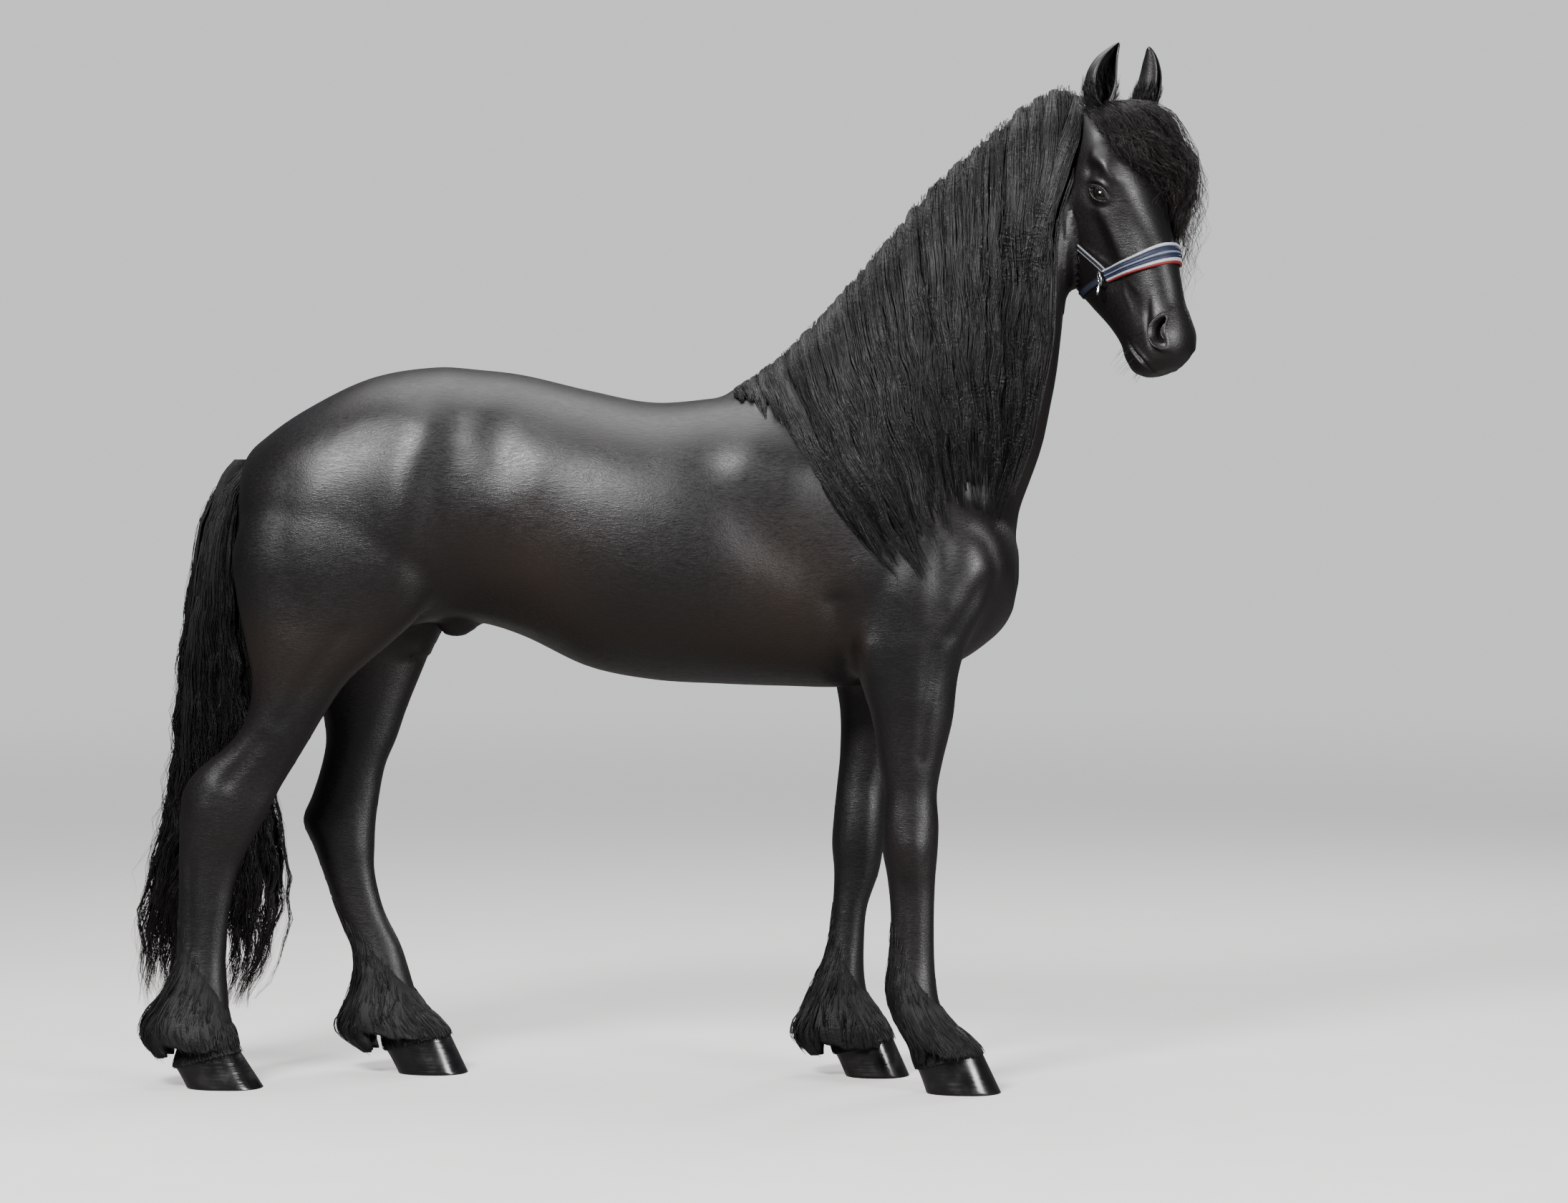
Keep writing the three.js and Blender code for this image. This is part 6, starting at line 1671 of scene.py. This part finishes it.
white, silver, grey = (0.42, 0.43, 0.47), (0.13, 0.15, 0.19), (0.20, 0.21, 0.23)
navy, dusk = (0.007, 0.011, 0.034), (0.014, 0.018, 0.035)
red, black = (0.20, 0.014, 0.014), (0.006, 0.006, 0.008)
paddedSteps = [(0, white), (0.15, navy), (0.40, silver), (0.50, navy), (0.72, white), (0.86, red),
               (0.985, black)]
paddedBand = bandMaterial("paddedBand", paddedSteps, 0.55)
thinBand = bandMaterial("thinBand", [(0, grey), (0.22, black), (0.78, grey)], 0.55)
darkBand = bandMaterial("darkBand", [(0, black), (0.2, dusk), (0.8, black)], 0.55)


# Padded noseband: over the nose from ring to ring, narrower towards them
def makeNoseband():
    end = halter["ringTurn"]
    turn = np.radians(np.linspace(180 - end, end, 170))
    down = halter["down"] + halter["dip"] * np.cos(turn) ** 2
    wide, narrow = halter["half"]
    half = wide + (narrow - wide) * ease(0.1, 1, np.abs(np.degrees(turn) - 90) / (end - 90))
    makeStrap("nosebandPadded", down, turn, half, halter["padded"], paddedBand, "noseband")


# Chin strap: under the jaw from ring to ring
def makeChinStrap():
    turn = np.radians(np.linspace(halter["ringTurn"] + 4, 536 - halter["ringTurn"], 120))
    down = halter["down"] + halter["dip"] + 6 * np.sin(np.linspace(0, np.pi, 120))
    makeStrap("chinStrap", down, turn, halter["chinHalf"], halter["strap"], darkBand, "chin_strap")


# Cheek strap: from the poll down the cheek to the ring
def makeCheekStrap(hand):
    down = np.linspace(40, 366, 120)
    turn = readKeys(halter["cheek"], down)[:, 0]
    turn = np.radians(turn if hand == "right" else 180 - turn)
    makeStrap("cheekpiece" + hand.title(), down, turn, halter["cheekHalf"], halter["strap"], thinBand,
              f"cheekpiece_{hand}", "across")


# Tube: a round bar carried along a closed path, with its rings across the path's own plane
def makeTube(name, path, radius, normal, nodes=()):
    along = unit(np.roll(path, -1, axis=0) - np.roll(path, 1, axis=0))
    out = np.cross(along, normal)
    u = turnsOf(16)[None, :, None]
    rings = path[:, None] + radius * (np.cos(u) * out[:, None] + np.sin(u) * normal)
    count, sides = rings.shape[:2]
    i, j = np.arange(count)[:, None] * sides, np.arange(sides)[None]
    nextI, nextJ = (i + sides) % (count * sides), (j + 1) % sides
    quads = np.stack([i + j, i + nextJ, nextI + nextJ, nextI + j], axis=-1).reshape(-1, 4)
    piece = makePiece(name, rings.reshape(-1, 3), [quads], [steel])
    carry(piece, "steel", *nodes)


# The middle of a halter ring and its directions away from the skin, down along it and aside
def ringAt(hand):
    turn = math.radians(halter["ringTurn"] + 2.5 if hand == "right" else 177.5 - halter["ringTurn"])
    down = halter["down"] + halter["dip"]
    middle = onSkin(down, turn, 15.0)
    out = unit(onSkin(down, turn, 60.0) - middle)
    lie = unit(headDown - (headDown @ out) * out)
    return middle, out, lie, np.cross(out, lie)


# A ring flat on the skin, and below it a buckle whose outline is cos^0.6, sin^0.6, an oblong
def makeRing(hand):
    middle, out, lie, aside = ringAt(hand)
    radius, bar = halter["ring"]
    u = np.linspace(0, 2 * np.pi, 64, endpoint=False)[:, None]
    c, s = np.cos(u), np.sin(u)
    makeTube("ring" + hand.title(), middle + radius * (c * lie + s * aside), bar, out, [f"ring_{hand}"])
    away, long, wide, bar = halter["buckle"]
    drop = unit(lie * 0.9 + out * 0.35)
    square = long * np.sign(c) * np.abs(c) ** 0.6 * drop + wide * np.sign(s) * np.abs(s) ** 0.6 * aside
    makeTube("buckle" + hand.title(), middle + away * drop + square, bar, np.cross(drop, aside))


makeNoseband()
makeChinStrap()
for hand in ("right", "left"):
    makeCheekStrap(hand)
for hand in ("right", "left"):
    makeRing(hand)
stage("halter made")


# Floor, lights and air
studio = {
    "floor": 30.0, "glow": 0.4, "mirrored": (0.16, 0.155, 0.15, 1), "sky": (0.80, 0.86, 0.95, 1),
    "air": 0.12, "seen": (0.86, 0.87, 0.88, 1), "haze": (1.8, 15.0),
    # power, size, place, aim
    "lights": {"sky": (260, 4.0, (-0.2, 0.8, 5.2), (0, 0, 1.2)),
               "key": (1100, 1.8, (-2.6, -5.4, 5.4), (0.0, 0, 1.3)),
               "front": (480, 1.9, (5.0, -4.4, 2.3), (0.0, 0, 1.1)),
               "rim": (160, 1.6, (3.0, 5.0, 4.2), (0, 0, 1.5))},
}


# One when the camera looks straight at a thing, zero when it is lit or mirrored
def seenDirectly(tree):
    return addNode(tree, "ShaderNodeLightPath").outputs["Is Camera Ray"]


# From the low shader to the high one by a mask, joined to the end where one is given
def mixShaders(tree, mask, low, high, end=None):
    mix = addNode(tree, "ShaderNodeMixShader", {0: mask, 1: low.outputs[0], 2: high.outputs[0]})
    if end is not None:
        tree.links.new(mix.outputs[0], end.inputs[0])
    return mix


# The floor is pale to the eye and darker as a mirror image, so that the belly and legs stay black. Far
# from the horse it takes on the colour of the air, so that it has no edge
def makeFloor():
    size = studio["floor"] * 1000
    corners = np.array([[-size, -size, 0], [size, -size, 0], [size, size, 0], [-size, size, 0]])
    floor = makePiece("floor", corners, [np.array([[0, 1, 2, 3]])], smooth=False)
    material, tree, shader = newMaterial("floor", Roughness=0.75)
    place = objectPlace(tree)
    colour = mixColour(tree, noiseAt(tree, place, 5.0, 6.0), (0.55, 0.545, 0.53), (0.62, 0.61, 0.595))
    tree.links.new(colour, shader.inputs["Base Color"])
    shader.inputs["Emission Color"].default_value = (1, 0.98, 0.95, 1)
    shader.inputs["Emission Strength"].default_value = studio["glow"]
    dull = addNode(tree, "ShaderNodeBsdfDiffuse", in_0=studio["mirrored"])
    far = addNode(tree, "ShaderNodeEmission", in_0=studio["seen"])
    away = addNode(tree, "ShaderNodeVectorMath", {0: place}, operation="LENGTH").outputs["Value"]
    haze = addNode(tree, "ShaderNodeMapRange", {0: away}, interpolation_type="SMOOTHSTEP")
    haze.inputs[1].default_value, haze.inputs[2].default_value = studio["haze"]
    pale = mixShaders(tree, haze.outputs[0], shader, far)
    mixShaders(tree, seenDirectly(tree), dull, pale, tree.nodes["Material Output"])
    floor.data.materials.append(material)


# The air is pale to the eye and dimmer as a light, so that a black coat keeps its depth
def makeAir():
    world = bpy.data.worlds.new("air")
    world.use_nodes = True
    tree = world.node_tree
    lit = tree.nodes["Background"]
    lit.inputs[0].default_value = studio["sky"]
    lit.inputs[1].default_value = studio["air"]
    seen = addNode(tree, "ShaderNodeBackground", in_0=studio["seen"])
    mixShaders(tree, seenDirectly(tree), lit, seen, tree.nodes["World Output"])
    bpy.context.scene.world = world


# A square lamp at a place that looks at its aim
def makeLamp(name, power, size, place, aim):
    data = bpy.data.lights.new(name, "AREA")
    data.energy, data.size = power, size
    lamp = bpy.data.objects.new(name, data)
    back = unit(np.array(place, float) - np.array(aim, float))
    right = unit(np.cross((0, 0, 1), back))
    lamp.matrix_world = placed(right, np.cross(back, right), back, place)
    bpy.context.scene.collection.objects.link(lamp)


makeFloor()
makeAir()
for name, values in studio["lights"].items():
    makeLamp(name, *values)
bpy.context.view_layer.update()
stage("scene made")
